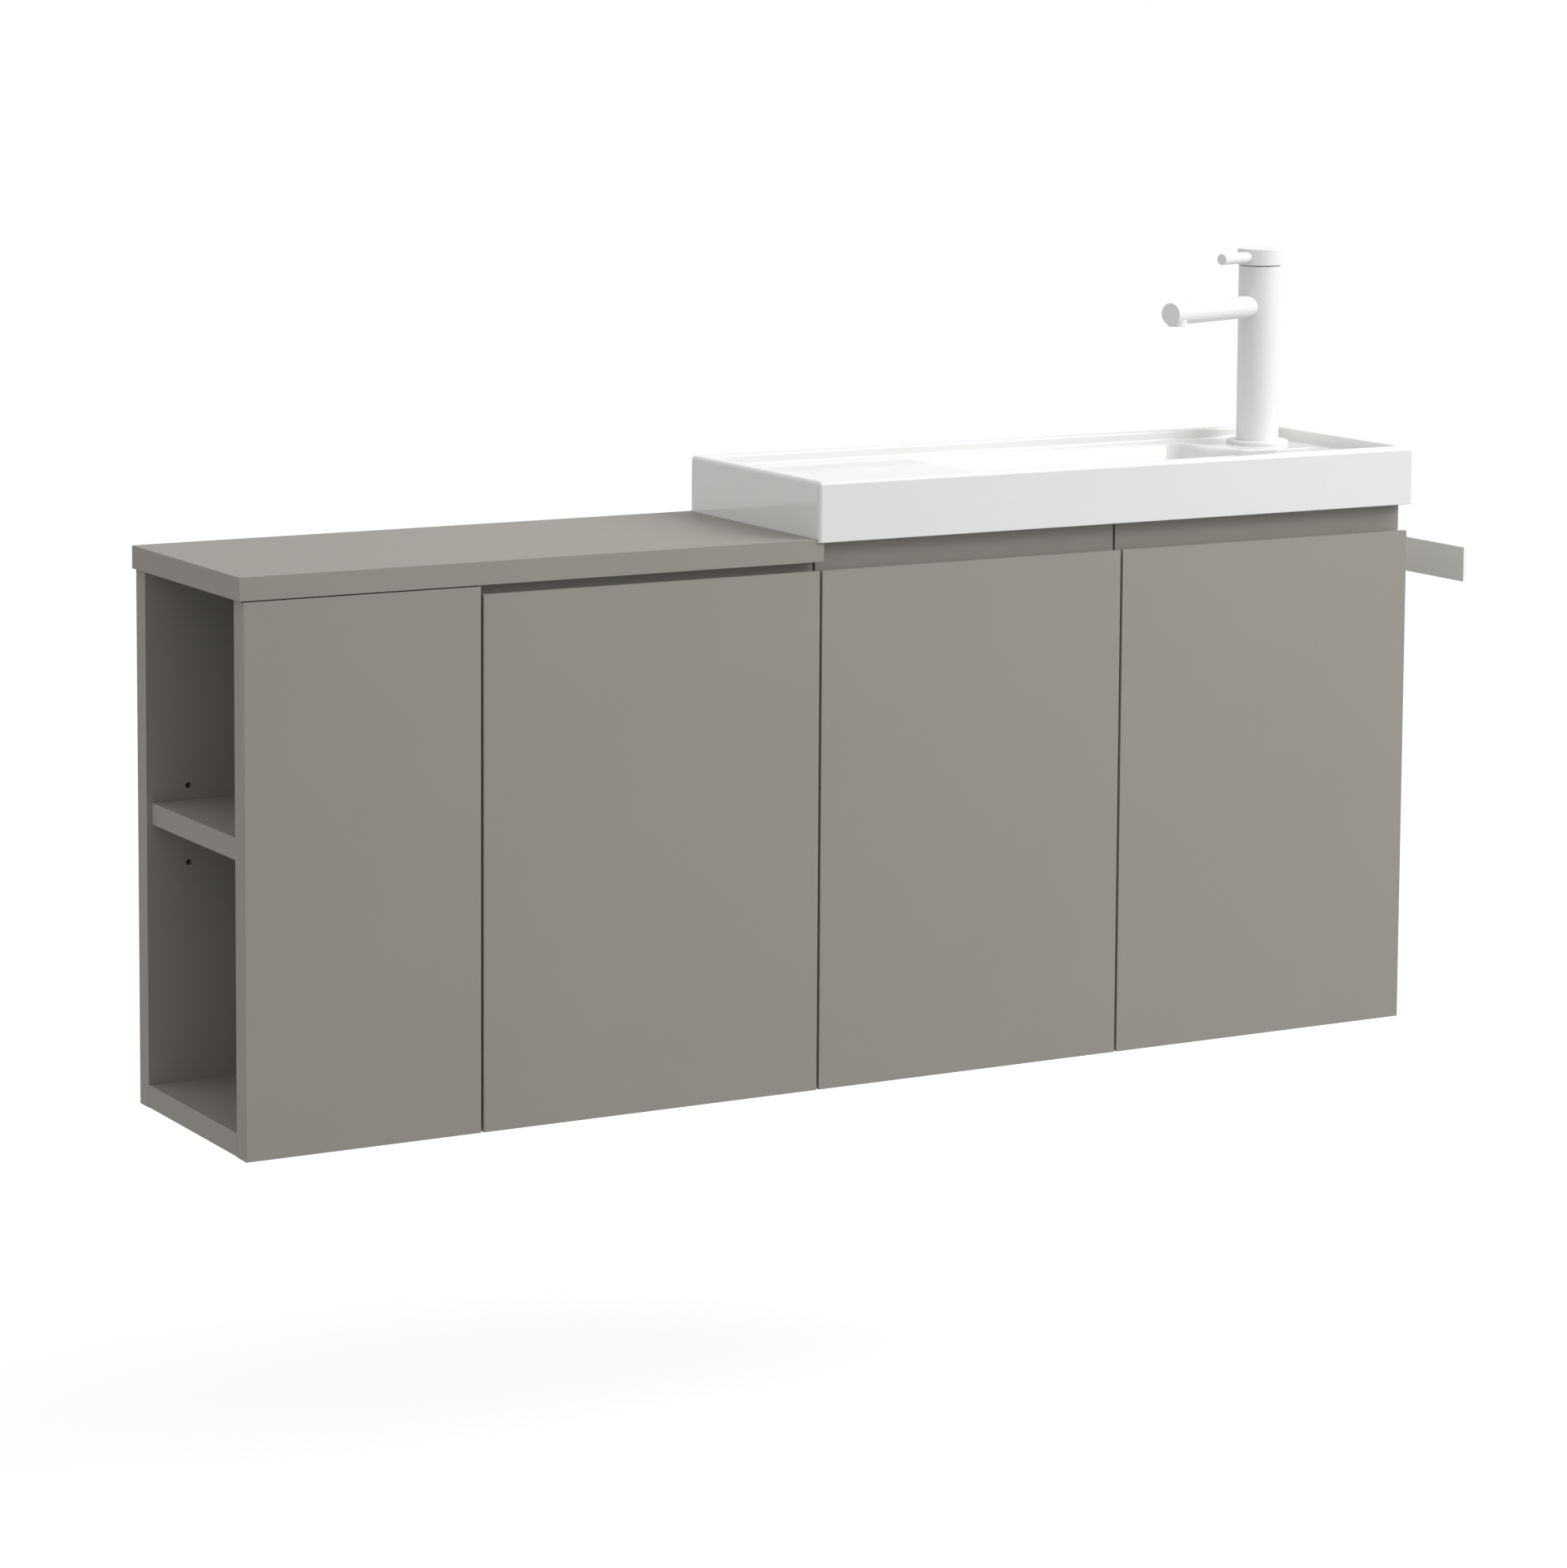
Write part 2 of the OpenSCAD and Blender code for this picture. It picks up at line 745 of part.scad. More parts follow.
module hanging_brackets() {
    color(white_plastic) placed() at_brackets() difference() {
        block(0, bracket_w, bracket_y0, bracket_y1, bracket_z0, bracket_z1);
        block(hook_x - loose_fit, hook_x + hook_t + loose_fit, bracket_y0 + bracket_wall, bracket_y1 + 1,
            z_lip_top - loose_fit, z_lip_top + hook_h + loose_fit);
        along_y(bracket_w / 2, bracket_y0 - 1, bracket_z0 + adjuster_up, adjuster_r + screw_fit,
            adjuster_l + 1);
        bracket_screw_pair(screw_fit);
    }
}

module bracket_hooks() {
    hook_y0 = bracket_y0 + bracket_wall + loose_fit;
    hook_y1 = -rail_t - hook_air;
    color(zinc) placed() at_brackets() {
        block(hook_x, hook_x + hook_t, hook_y0, hook_y1, z_lip_top, z_lip_top + hook_h);
        block(hook_x, hook_x + hook_t, hook_y1 - hook_tip_t, hook_y1,
            z_lip_top - hook_tip, z_lip_top + hook_h);
    }
}

module bracket_adjusters() {
    color(zinc) placed() at_brackets() difference() {
        along_y(bracket_w / 2, bracket_y0 - adjuster_out, bracket_z0 + adjuster_up, adjuster_r, adjuster_l);
        translate([bracket_w / 2, bracket_y0 - adjuster_out, bracket_z0 + adjuster_up])
            cube([1.5 * adjuster_r, adjuster_out, adjuster_r / 3], center = true);
    }
}

module bracket_screw_pair(fit) {
    for (y = [bracket_y0 + bracket_screw_edge, bracket_y1 - bracket_screw_edge])
        along_x(-bracket_screw_in, y, bracket_z0 + bracket_screw_up, bracket_screw_r + fit,
            bracket_screw_in + bracket_w + (fit > 0 ? 1 : 0));
}

module bracket_screw_bores() {
    at_brackets() bracket_screw_pair(screw_fit);
}

module bracket_screws() {
    color(zinc) placed() at_brackets() {
        bracket_screw_pair(0);
        for (y = [bracket_y0 + bracket_screw_edge, bracket_y1 - bracket_screw_edge])
            along_x(bracket_w, y, bracket_z0 + bracket_screw_up, 2 * bracket_screw_r, bracket_screw_r);
    }
}

// Rail of folded steel: a plate on the wall, a step forward and a lip that the hooks hang on
module wall_rail(x0, x1, pitch) {
    z0 = rail_hole_z - rail_drop;
    z1 = rail_hole_z + rail_rise;
    y_lip = -rail_t - rail_gap - rail_t;
    difference() {
        union() {
            block(x0, x1, -rail_t, 0, z0, z1);
            block(x0, x1, y_lip, 0, z1 - rail_t, z1);
            block(x0, x1, y_lip, y_lip + rail_t, z1 - rail_t, z_lip_top);
        }
        for (s = [-1, 1])
            along_y((x0 + x1) / 2 + s * pitch / 2, -rail_t - 1, rail_hole_z, rail_hole_r, rail_t + 2);
    }
}

module middle_wall_rail() {
    color(zinc) placed()
        wall_rail(x_niche + board_t + rail_end_air, x_middle - board_t - rail_end_air, middle_hole_pitch);
}

module sink_wall_rail() {
    color(zinc) placed()
        wall_rail(x_middle + board_t + rail_end_air, x_end - board_t - rail_end_air, sink_hole_pitch);
}

// Corner discs of the bowl, at the shelf's level and at its floor: [from the bowl's left edge, y, radius]
bowl_back = -30;
bowl_front = -basin_d + rim_w + 18;
bowl_right = basin_w - bowl_left - tap_from_right;
bowl_slope = 58;
bowl_nose = 28;
bowl_tail = 67;
bowl_tip = 19;
bowl_tip_y = y_tap - 56;
bowl_top_discs = [[12, bowl_back, 12], [12, bowl_front, 12], [215, bowl_front + bowl_nose, 40],
    [bowl_right + bowl_tip, bowl_tip_y, 8], [bowl_right + bowl_tip, bowl_back, 12]];
bowl_low_discs = [[bowl_slope + 25, bowl_back - 27, 25], [bowl_slope + 25, bowl_front + 31, 25],
    [210, bowl_front + 51, 35], [bowl_right - bowl_tail, bowl_tip_y + 13, 10],
    [bowl_right - bowl_tail - 5, bowl_back - 22, 20]];
bowl_round = 7;
lip_round = 3;
deck_round = 12;
rim_corner_r = 6;
deck_half = 62;

module bowl_discs(discs, grow, z) {
    for (d = discs) translate([x_bowl + d[0], d[1], z]) cylinder(r = d[2] + grow, h = eps, $fn = 32);
}

// The deck under the tap stands into the bowl
module deck_outline(grow) {
    offset(r = deck_round + grow) offset(delta = -deck_round) polygon([[x_tap - deck_half, basin_d],
        [x_tap - deck_half, y_tap - 5], [x_tap - 44, y_tap - 43], [x_tap - 14, y_tap - 55],
        [x_tap + 32, y_tap - 56], [x_tap + deck_half, y_tap], [x_tap + deck_half, basin_d]]);
}

module bowl_form(grow) {
    difference() {
        hull() {
            bowl_discs(bowl_top_discs, grow, z_deck - (grow > 0 ? ceramic_t / 2 : 0));
            bowl_discs(bowl_low_discs, grow, z_bowl - grow + bowl_round);
            bowl_discs(bowl_low_discs, grow - bowl_round, z_bowl - grow);
        }
        translate([0, 0, z_bowl - 2 * ceramic_t]) linear_extrude(height = bowl_drop + 2 * ceramic_t)
            deck_outline(-grow);
    }
}

// Rounding where the bowl and the deck's edge meet the shelf, in two steps
module bowl_lip() {
    for (k = [1, 2]) difference() {
        hull() {
            bowl_discs(bowl_top_discs, lip_round * k / 3, z_deck);
            bowl_discs(bowl_top_discs, 0, z_deck - lip_round * (3 - k) / 2);
        }
        translate([0, 0, z_deck - lip_round * (3 - k) / 2 - 1]) linear_extrude(height = 2 * lip_round)
            deck_outline(-lip_round * k / 3);
    }
}

module basin_block() {
    r = basin_edge_r;
    hull() for (x = [x_basin + r, x_basin_end - r], y = [-basin_d + r, -r]) {
        translate([x, y, z_rim - r]) sphere(r = r, $fn = 32);
        translate([x, y, z_basin]) cylinder(r = r, h = eps, $fn = 32);
    }
}

// The space inside the raised rim, above the shelf and the deck
module rim_pocket() {
    translate([0, 0, z_deck]) linear_extrude(height = rim_drop + eps)
        offset(r = rim_corner_r) offset(delta = -rim_corner_r)
            translate([x_basin + rim_w, rim_w - basin_d]) square([basin_w - 2 * rim_w, basin_d - 2 * rim_w]);
}

module ceramic_basin() {
    color(white_glaze) placed() difference() {
        union() {
            difference() {
                basin_block();
                block(x_basin + ceramic_t, x_basin_end - ceramic_t, -basin_d + ceramic_t, -ceramic_t,
                    z_basin - 1, z_deck - ceramic_t);
            }
            intersection() {
                bowl_form(ceramic_t);
                block(x_basin + 1, x_basin_end - 1, -basin_d + 1, -1, z_bowl - 2 * ceramic_t, z_deck);
            }
        }
        rim_pocket();
        translate([0, 0, eps]) {
            bowl_form(0);
            bowl_lip();
        }
        translate([x_tap, y_tap, z_deck - 2 * ceramic_t]) cylinder(r = tap_hole_r, h = 3 * ceramic_t);
        translate([x_waste, y_waste, z_bowl - 2 * ceramic_t])
            cylinder(r = waste_r + waste_hole_air, h = 3 * ceramic_t);
        translate([x_waste, y_waste, z_bowl - waste_flange_t])
            cylinder(r = waste_flange_r + waste_hole_air, h = ceramic_t);
        block(x_basin - 1, x_worktop_end + loose_fit, y_front - 0.4, 1, z_basin - 1, z_top + screw_fit);
    }
}

// Waste: flanged tube through the floor of the bowl, held by a nut from below
z_flange = z_bowl - waste_flange_t;
z_basin_low = z_bowl - ceramic_t;

module waste_body() {
    color(chrome) placed() translate([x_waste, y_waste, z_flange]) difference() {
        union() {
            cylinder(r = waste_flange_r, h = waste_flange_t);
            translate([0, 0, -waste_tail]) cylinder(r = waste_r - 1, h = waste_tail + eps);
        }
        difference() {
            translate([0, 0, -waste_tail - 1])
                cylinder(r = waste_bore_r, h = waste_tail + waste_flange_t + 2);
            difference() {
                translate([0, 0, -waste_cross_drop]) union() {
                    translate([-waste_r, -cross_w / 2, 0]) cube([2 * waste_r, cross_w, cross_t]);
                    translate([-cross_w / 2, -waste_r, 0]) cube([cross_w, 2 * waste_r, cross_t]);
                    cylinder(r = cross_hub_r, h = cross_t);
                }
                translate([0, 0, -waste_cross_drop - 1])
                    cylinder(r = plug_stem_r + slide_fit, h = cross_t + 2);
            }
        }
    }
}

module waste_gasket() {
    color(rubber) placed() translate([x_waste, y_waste, z_basin_low - gasket_t])
        ring(waste_flange_r - 1, waste_r - 1 + screw_fit, gasket_t);
}

module waste_nut() {
    color(chrome) placed()
    translate([x_waste, y_waste, z_basin_low - gasket_t - waste_nut_h]) difference() {
        cylinder(r = waste_flange_r, h = waste_nut_h, $fn = 8);
        translate([0, 0, -1]) cylinder(r = waste_r - 1 + screw_fit, h = waste_nut_h + 2);
    }
}

// Plug that is pushed down to close and springs up to open
module waste_plug() {
    color(chrome) placed() translate([x_waste, y_waste, z_bowl + plug_air]) {
        cylinder(r = plug_r, h = plug_t - 1);
        translate([0, 0, plug_t - 1]) cylinder(r1 = plug_r, r2 = plug_r - plug_edge, h = 1);
        translate([0, 0, -plug_stem_l]) cylinder(r = plug_stem_r, h = plug_stem_l + eps);
    }
}

// Bottle trap below the waste
z_tail = z_flange - waste_tail;
z_bottle_top = z_outlet + bottle_over;
z_bottle_low = z_bottle_top - bottle_h;
tail_l = z_tail + tail_in - z_bottle_low - dip_air;

module ring(r_out, r_in, h) {
    difference() {
        cylinder(r = r_out, h = h);
        translate([0, 0, -1]) cylinder(r = r_in, h = h + 2);
    }
}

module trap_tailpipe() {
    color(chrome) placed() translate([x_waste, y_waste, z_tail + tail_in - tail_l])
        ring(tailpipe_r, tailpipe_r - tailpipe_wall, tail_l);
}

module trap_bottle() {
    color(chrome) placed() difference() {
        union() {
            translate([x_waste, y_waste, z_bottle_low]) cylinder(r = bottle_r, h = bottle_h);
            translate([x_waste, y_waste, z_bottle_top - eps])
                cylinder(r = tailpipe_r + bottle_wall, h = neck_h);
            along_y(x_waste, y_waste, z_outlet, tailpipe_r + bottle_wall, bottle_r + spigot_out);
        }
        translate([x_waste, y_waste, z_bottle_low - 1])
            cylinder(r = bottle_r - bottle_wall, h = bottle_h - bottle_wall + 1);
        translate([x_waste, y_waste, z_bottle_top - 2 * bottle_wall])
            cylinder(r = tailpipe_r + screw_fit, h = neck_h + 3 * bottle_wall);
        along_y(x_waste, y_waste, z_outlet, tailpipe_r + screw_fit, bottle_r + spigot_out + 1);
    }
}

module trap_cup() {
    cup_r = bottle_r - bottle_wall - screw_fit;
    color(chrome) placed() translate([x_waste, y_waste, z_bottle_low - cup_h]) difference() {
        union() {
            cylinder(r = bottle_r + bottle_wall / 2, h = cup_h);
            translate([0, 0, cup_h - eps]) cylinder(r = cup_r, h = cup_in);
        }
        translate([0, 0, bottle_wall]) cylinder(r = cup_r - bottle_wall, h = cup_h + cup_in);
    }
}

module trap_nuts() {
    nut_r = tailpipe_r + nut_wall;
    color(chrome) placed() {
        translate([x_waste, y_waste, z_tail - tail_nut_h])
            ring(nut_r, tailpipe_r + screw_fit, tail_nut_h - screw_fit);
        translate([x_waste, y_waste, z_bottle_top + neck_h]) ring(nut_r, tailpipe_r + screw_fit, nut_h);
        translate([x_waste, y_waste + bottle_r + spigot_out, z_outlet]) rotate([-90, 0, 0])
            ring(nut_r, tailpipe_r + screw_fit, nut_h);
    }
}

// Wall pipe with a rolled bead under the escutcheon: the pipe beyond the bead goes into the wall
module outlet_pipe() {
    room_l = -y_waste - bottle_r;
    color(chrome) placed()
    translate([x_waste, y_waste + bottle_r, z_outlet]) rotate([-90, 0, 0]) difference() {
        union() {
            cylinder(r = tailpipe_r, h = room_l + outlet_out);
            translate([0, 0, room_l - bead_t]) cylinder(r = tailpipe_r + bead_t, h = bead_t);
        }
        translate([0, 0, -1]) cylinder(r = tailpipe_r - tailpipe_wall, h = room_l + outlet_out + 2);
    }
}

module wall_escutcheon() {
    color(chrome) placed() translate([x_waste, -escutcheon_t, z_outlet]) rotate([-90, 0, 0]) difference() {
        cylinder(r1 = tailpipe_r + escutcheon_neck, r2 = escutcheon_r, h = escutcheon_t);
        translate([0, 0, -1]) cylinder(r = tailpipe_r + screw_fit, h = escutcheon_t + 2);
        translate([0, 0, escutcheon_wall])
            cylinder(r1 = tailpipe_r + escutcheon_neck - escutcheon_wall, r2 = escutcheon_r - escutcheon_wall,
                h = escutcheon_t);
    }
}

// The tap's own frame: its axis, with the deck at z = 0 and the spout along +X
module at_tap() {
    translate([x_tap, y_tap, z_deck]) rotate([0, 0, 180 + spout_turn]) children();
}

module tap_foot_ring() {
    color(white_satin) placed() at_tap() difference() {
        union() {
            cylinder(d = foot_d, h = foot_h - foot_edge);
            translate([0, 0, foot_h - foot_edge - eps])
                cylinder(d1 = foot_d, d2 = foot_d - 2 * foot_edge, h = foot_edge + eps);
        }
        translate([0, 0, -1]) cylinder(r = tap_shank_r + screw_fit, h = foot_h + 2);
    }
}

module tap_body() {
    color(white_satin) placed() at_tap() difference() {
        union() {
            translate([0, 0, foot_h]) cylinder(d = tap_d, h = tap_top - foot_h);
            translate([0, 0, -tap_shank_l]) cylinder(r = tap_shank_r, h = tap_shank_l + foot_h + eps);
        }
        translate([0, 0, tap_top - cartridge_h]) cylinder(r = cartridge_r + screw_fit, h = cartridge_h + 1);
        translate([0, 0, -way_drop]) cylinder(r = way_r, h = tap_top - cartridge_h + way_drop + 1);
        translate([0, 0, spout_z]) rotate([0, 90, 0]) cylinder(d = spout_d + 2 * screw_fit, h = tap_d);
        for (s = [-1, 1]) translate([s * inlet_pitch / 2, 0, -tap_shank_l - 1])
            cylinder(r = inlet_r, h = inlet_l + 1 + eps);
    }
}

// Straight spout, bored up to its aerator
module tap_spout() {
    spout_in = cartridge_r + 1;
    color(white_satin) placed() at_tap() difference() {
        translate([spout_in, 0, spout_z]) rotate([0, 90, 0])
            cylinder(d = spout_d, h = spout_reach - spout_in);
        translate([spout_in - 1, 0, spout_z]) rotate([0, 90, 0])
            cylinder(d = spout_d - 2 * spout_wall, h = spout_reach - spout_in - aerator_back + 1);
        translate([spout_reach - aerator_back, 0, spout_z - spout_d])
            cylinder(r = aerator_r + screw_fit, h = spout_d);
    }
}

module tap_aerator() {
    color(white_satin) placed() at_tap()
        translate([spout_reach - aerator_back, 0, spout_z - spout_d / 2 - aerator_out]) difference() {
            cylinder(r = aerator_r, h = aerator_h);
            translate([0, 0, -1]) cylinder(r = aerator_r - aerator_rim, h = aerator_rim + 1);
            for (a = [0 : 60 : 300]) rotate([0, 0, a]) translate([jet_ring_r, 0, -1])
                cylinder(r = jet_r, h = aerator_h + 2);
        }
}

module tap_cartridge() {
    color(white_plastic) placed() at_tap() translate([0, 0, tap_top - cartridge_h]) difference() {
        cylinder(r = cartridge_r, h = cartridge_h - 1);
        translate([0, 0, cartridge_h - stem_in - loose_fit])
            cylinder(r = tap_stem_r + turn_fit, h = stem_in + 1);
    }
}

module tap_stem() {
    color(chrome) placed() at_tap() translate([0, 0, tap_top - stem_in])
        cylinder(r = tap_stem_r, h = stem_in + cap_gap + stem_up);
}

module tap_cap() {
    color(white_satin) placed() at_tap() translate([0, 0, tap_top + cap_gap]) difference() {
        union() {
            cylinder(d = cap_d, h = cap_h - cap_edge);
            translate([0, 0, cap_h - cap_edge - eps])
                cylinder(d1 = cap_d, d2 = cap_d - 2 * cap_edge, h = cap_edge + eps);
        }
        translate([0, 0, -1]) cylinder(r = tap_stem_r + screw_fit, h = stem_up + 1 + screw_fit);
        translate([cap_d / 2 - lever_in, 0, cap_h / 2]) rotate([0, 90, 0])
            cylinder(d = lever_d + 2 * screw_fit, h = cap_d);
    }
}

module tap_lever() {
    lever_in_x = cap_d / 2 - lever_in + screw_fit;
    color(white_satin) placed() at_tap() translate([lever_in_x, 0, tap_top + cap_gap + cap_h / 2])
        rotate([0, 90, 0]) union() {
            cylinder(d = lever_d, h = lever_reach - lever_in_x - cap_edge);
            translate([0, 0, lever_reach - lever_in_x - cap_edge - eps])
                cylinder(d1 = lever_d, d2 = lever_d - 2 * cap_edge, h = cap_edge + eps);
        }
}

module tap_washer() {
    color(rubber) placed() at_tap() translate([0, 0, -ceramic_t - washer_t])
        ring(washer_r, tap_shank_r + screw_fit, washer_t);
}

module tap_nut() {
    color(chrome) placed() at_tap() translate([0, 0, -ceramic_t - washer_t - nut_t]) difference() {
        cylinder(r = nut_r, h = nut_t, $fn = 6);
        translate([0, 0, -1]) cylinder(r = tap_shank_r + screw_fit, h = nut_t + 2);
    }
}

// Towel bar: a foot on the cabinet side, a short leg outward and a long leg forward
bar_foot_l = 46;
bar_y = -8;
bar_bend_r = 3;
bar_screw_r = 2;
bar_screw_l = 14;
bar_screw_edge = 8;
bar_screw_pitch = 18;
bar_screw_y = [bar_y - bar_foot_l + bar_screw_edge, bar_y - bar_foot_l + bar_screw_edge + bar_screw_pitch];
bar_z = z_top - bar_drop;
bar_screw_z = bar_z + bar_h / 2;

// Quarter bend of the flat bar, seen from above: its outer corner is at the origin
module bar_bend() {
    r = bar_bend_r + bar_t;
    intersection() {
        translate([r, -r]) difference() {
            circle(r = r);
            circle(r = bar_bend_r);
        }
        translate([0, -r]) square([r, r]);
    }
}

module towel_bar() {
    r = bar_bend_r + bar_t;
    x_out = x_end + bar_reach + bar_t;
    color(nickel) placed() difference() {
        translate([0, 0, bar_z]) linear_extrude(height = bar_h) {
            translate([x_end, bar_y - bar_foot_l]) square([bar_t, bar_foot_l - r]);
            translate([x_end, bar_y]) bar_bend();
            translate([x_end + r, bar_y - bar_t]) square([x_out - x_end - 2 * r, bar_t]);
            translate([x_out, bar_y]) mirror([1, 0]) bar_bend();
            translate([x_out - bar_t, -bar_len]) square([bar_t, bar_len + bar_y - r]);
        }
        translate([bar_t + 1, 0, 0]) towel_screw_set(screw_fit);
    }
}

module towel_screw_set(fit) {
    for (y = bar_screw_y)
        along_x(x_end - bar_screw_l, y, bar_screw_z, bar_screw_r + fit, bar_screw_l + bar_t);
}

module towel_bar_screws() {
    color(nickel) placed() {
        towel_screw_set(0);
        for (y = bar_screw_y) along_x(x_end + bar_t, y, bar_screw_z, 2 * bar_screw_r, bar_screw_r);
    }
}

niche_front_panel();
niche_back_panel();
niche_side_panel();
niche_bottom_panel();
niche_shelf();
shelf_pins();
worktop();
middle_left_side();
middle_right_side();
middle_bottom_panel();
middle_top_rail();
middle_rear_rail();
sink_left_side();
sink_right_side();
sink_bottom_panel();
sink_rear_rail();
middle_door();
left_sink_door();
right_sink_door();
middle_hinge_cups();
left_hinge_cups();
right_hinge_cups();
middle_cup_screws();
left_cup_screws();
right_cup_screws();
hinge_arms();
hinge_plates();
hinge_plate_screws();
door_bumpers();
joining_bolts();
panel_dowels();
hanging_brackets();
bracket_hooks();
bracket_adjusters();
bracket_screws();
middle_wall_rail();
sink_wall_rail();
ceramic_basin();
waste_body();
waste_gasket();
waste_nut();
waste_plug();
trap_tailpipe();
trap_bottle();
trap_cup();
trap_nuts();
outlet_pipe();
wall_escutcheon();
tap_foot_ring();
tap_body();
tap_spout();
tap_aerator();
tap_cartridge();
tap_stem();
tap_cap();
tap_lever();
tap_washer();
tap_nut();
towel_bar();
towel_bar_screws();
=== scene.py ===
import math

import bmesh
import bpy
from mathutils import Matrix, Vector


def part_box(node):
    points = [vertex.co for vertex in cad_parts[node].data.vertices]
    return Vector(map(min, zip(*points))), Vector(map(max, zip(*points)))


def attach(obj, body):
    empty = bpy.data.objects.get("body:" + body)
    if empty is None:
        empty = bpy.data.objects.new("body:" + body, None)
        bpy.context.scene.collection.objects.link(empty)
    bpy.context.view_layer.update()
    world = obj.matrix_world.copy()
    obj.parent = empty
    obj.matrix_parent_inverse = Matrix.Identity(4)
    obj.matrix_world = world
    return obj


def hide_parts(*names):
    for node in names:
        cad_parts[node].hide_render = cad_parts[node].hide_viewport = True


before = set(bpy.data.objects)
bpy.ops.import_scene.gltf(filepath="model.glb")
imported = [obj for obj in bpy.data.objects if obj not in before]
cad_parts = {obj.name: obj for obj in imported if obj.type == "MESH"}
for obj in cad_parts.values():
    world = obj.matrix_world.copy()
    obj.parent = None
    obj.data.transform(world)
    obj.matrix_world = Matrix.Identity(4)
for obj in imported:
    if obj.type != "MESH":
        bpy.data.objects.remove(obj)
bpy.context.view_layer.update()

# Studio and camera. The unit hangs in front of plain white paper, with a pale floor some way below it.
# The floor and the world look white to the eye and in mirrors, while the light that they give stays plain.
# The wide lamp stands to the right, above and a little in front, as in the catalogue picture.
bpy.context.scene.view_settings.view_transform = "Standard"


def linear(colour):
    """An sRGB hex colour as the linear colour that a shader's socket takes."""
    parts = [int(colour[i:i + 2], 16) / 255 for i in (0, 2, 4)]
    return [p / 12.92 if p <= 0.04045 else ((p + 0.055) / 1.055) ** 2.4 for p in parts] + [1.0]


def add(tree, kind, inputs=None, **settings):
    """A node with its settings. An input is a value, or the output socket that feeds it."""
    made = tree.nodes.new(kind)
    for name, value in settings.items():
        setattr(made, name, value)
    for name, value in (inputs or {}).items():
        if isinstance(value, bpy.types.NodeSocket):
            tree.links.new(value, made.inputs[name])
        else:
            made.inputs[name].default_value = value
    return made


def seen_white(tree):
    """1 where the eye, a mirror or glass looks straight at the paper, and 0 where light bounces from it."""
    path = add(tree, "ShaderNodeLightPath")
    first = add(tree, "ShaderNodeMath", {0: path.outputs["Is Camera Ray"], 1: path.outputs["Is Glossy Ray"]},
                operation="MAXIMUM")
    return add(tree, "ShaderNodeMath", {0: first.outputs[0], 1: path.outputs["Is Transmission Ray"]},
               operation="MAXIMUM").outputs[0]


ROOM_LIGHT = 0.67
FLOOR_GREY = 0.42
FLOOR_GLOW = 0.62
floor_z = -0.737
floor_r = 30

world = bpy.data.worlds.new("white_room")
world.use_nodes = True
tree = world.node_tree
tree.nodes.clear()
room = add(tree, "ShaderNodeBackground", {"Color": linear("ffffff"), "Strength": ROOM_LIGHT})
paper = add(tree, "ShaderNodeBackground", {"Color": linear("ffffff"), "Strength": 1.0})
mixed = add(tree, "ShaderNodeMixShader", {0: seen_white(tree), 1: room.outputs[0], 2: paper.outputs[0]})
add(tree, "ShaderNodeOutputWorld", {"Surface": mixed.outputs[0]})
bpy.context.scene.world = world

floor_paint = bpy.data.materials.new("matt_white_floor_paint")
floor_paint.use_nodes = True
tree = floor_paint.node_tree
tree.nodes.clear()
dull = add(tree, "ShaderNodeBsdfDiffuse", {"Color": [FLOOR_GREY] * 3 + [1]})
pale = add(tree, "ShaderNodeBsdfDiffuse", {"Color": linear("c8c8c8")})
glow = add(tree, "ShaderNodeEmission", {"Color": linear("ffffff"), "Strength": FLOOR_GLOW})
bright = add(tree, "ShaderNodeAddShader", {0: pale.outputs[0], 1: glow.outputs[0]})
mixed = add(tree, "ShaderNodeMixShader", {0: seen_white(tree), 1: dull.outputs[0], 2: bright.outputs[0]})
add(tree, "ShaderNodeOutputMaterial", {"Surface": mixed.outputs[0]})

bpy.ops.object.select_all(action="DESELECT")
bpy.ops.mesh.primitive_circle_add(vertices=96, radius=floor_r, fill_type="NGON", location=(0, 0, floor_z))
floor = bpy.context.object
floor.name = "studio_floor"
floor.data.materials.append(floor_paint)

lamp_way = Vector((0.57, -0.55, 0.61)).normalized()
lamp_distance = 2.9
lamp_width = 2.4
lamp_watts = 61
lamp_data = bpy.data.lights.new("wide_lamp", "AREA")
lamp_data.shape = "DISK"
lamp_data.size = lamp_width
lamp_data.energy = lamp_watts
lamp = bpy.data.objects.new("wide_lamp", lamp_data)
lamp.location = lamp_way * lamp_distance
lamp.rotation_euler = lamp_way.to_track_quat("Z", "Y").to_euler()
bpy.context.collection.objects.link(lamp)

# The camera stands to the left and looks slightly down. It was fitted to the straight edges of the unit.
camera_place = (-2.3099, -3.6758, 0.5749)
camera_turn = math.radians(-28.61)
camera_tilt = math.radians(83.90)
camera_roll = math.radians(0.24)
camera_data = bpy.data.cameras.new("catalogue_camera")
camera_data.sensor_fit = "HORIZONTAL"
camera_data.lens = 111.77
camera_data.shift_x = 0.06
camera_data.shift_y = -0.22
camera_data.clip_end = 100
camera = bpy.data.objects.new("catalogue_camera", camera_data)
aim = (Matrix.Rotation(camera_turn, 4, "Z") @ Matrix.Rotation(camera_tilt, 4, "X")
       @ Matrix.Rotation(camera_roll, 4, "Z"))
camera.matrix_world = Matrix.Translation(camera_place) @ aim
bpy.context.collection.objects.link(camera)
bpy.context.scene.camera = camera

# Niche boards and worktop. They are 19 mm fibreboard, cut, edge-rounded with a trim router, sprayed in warm
# grey satin lacquer and doweled together. The loose shelf lies on four pins.
MM = 0.001


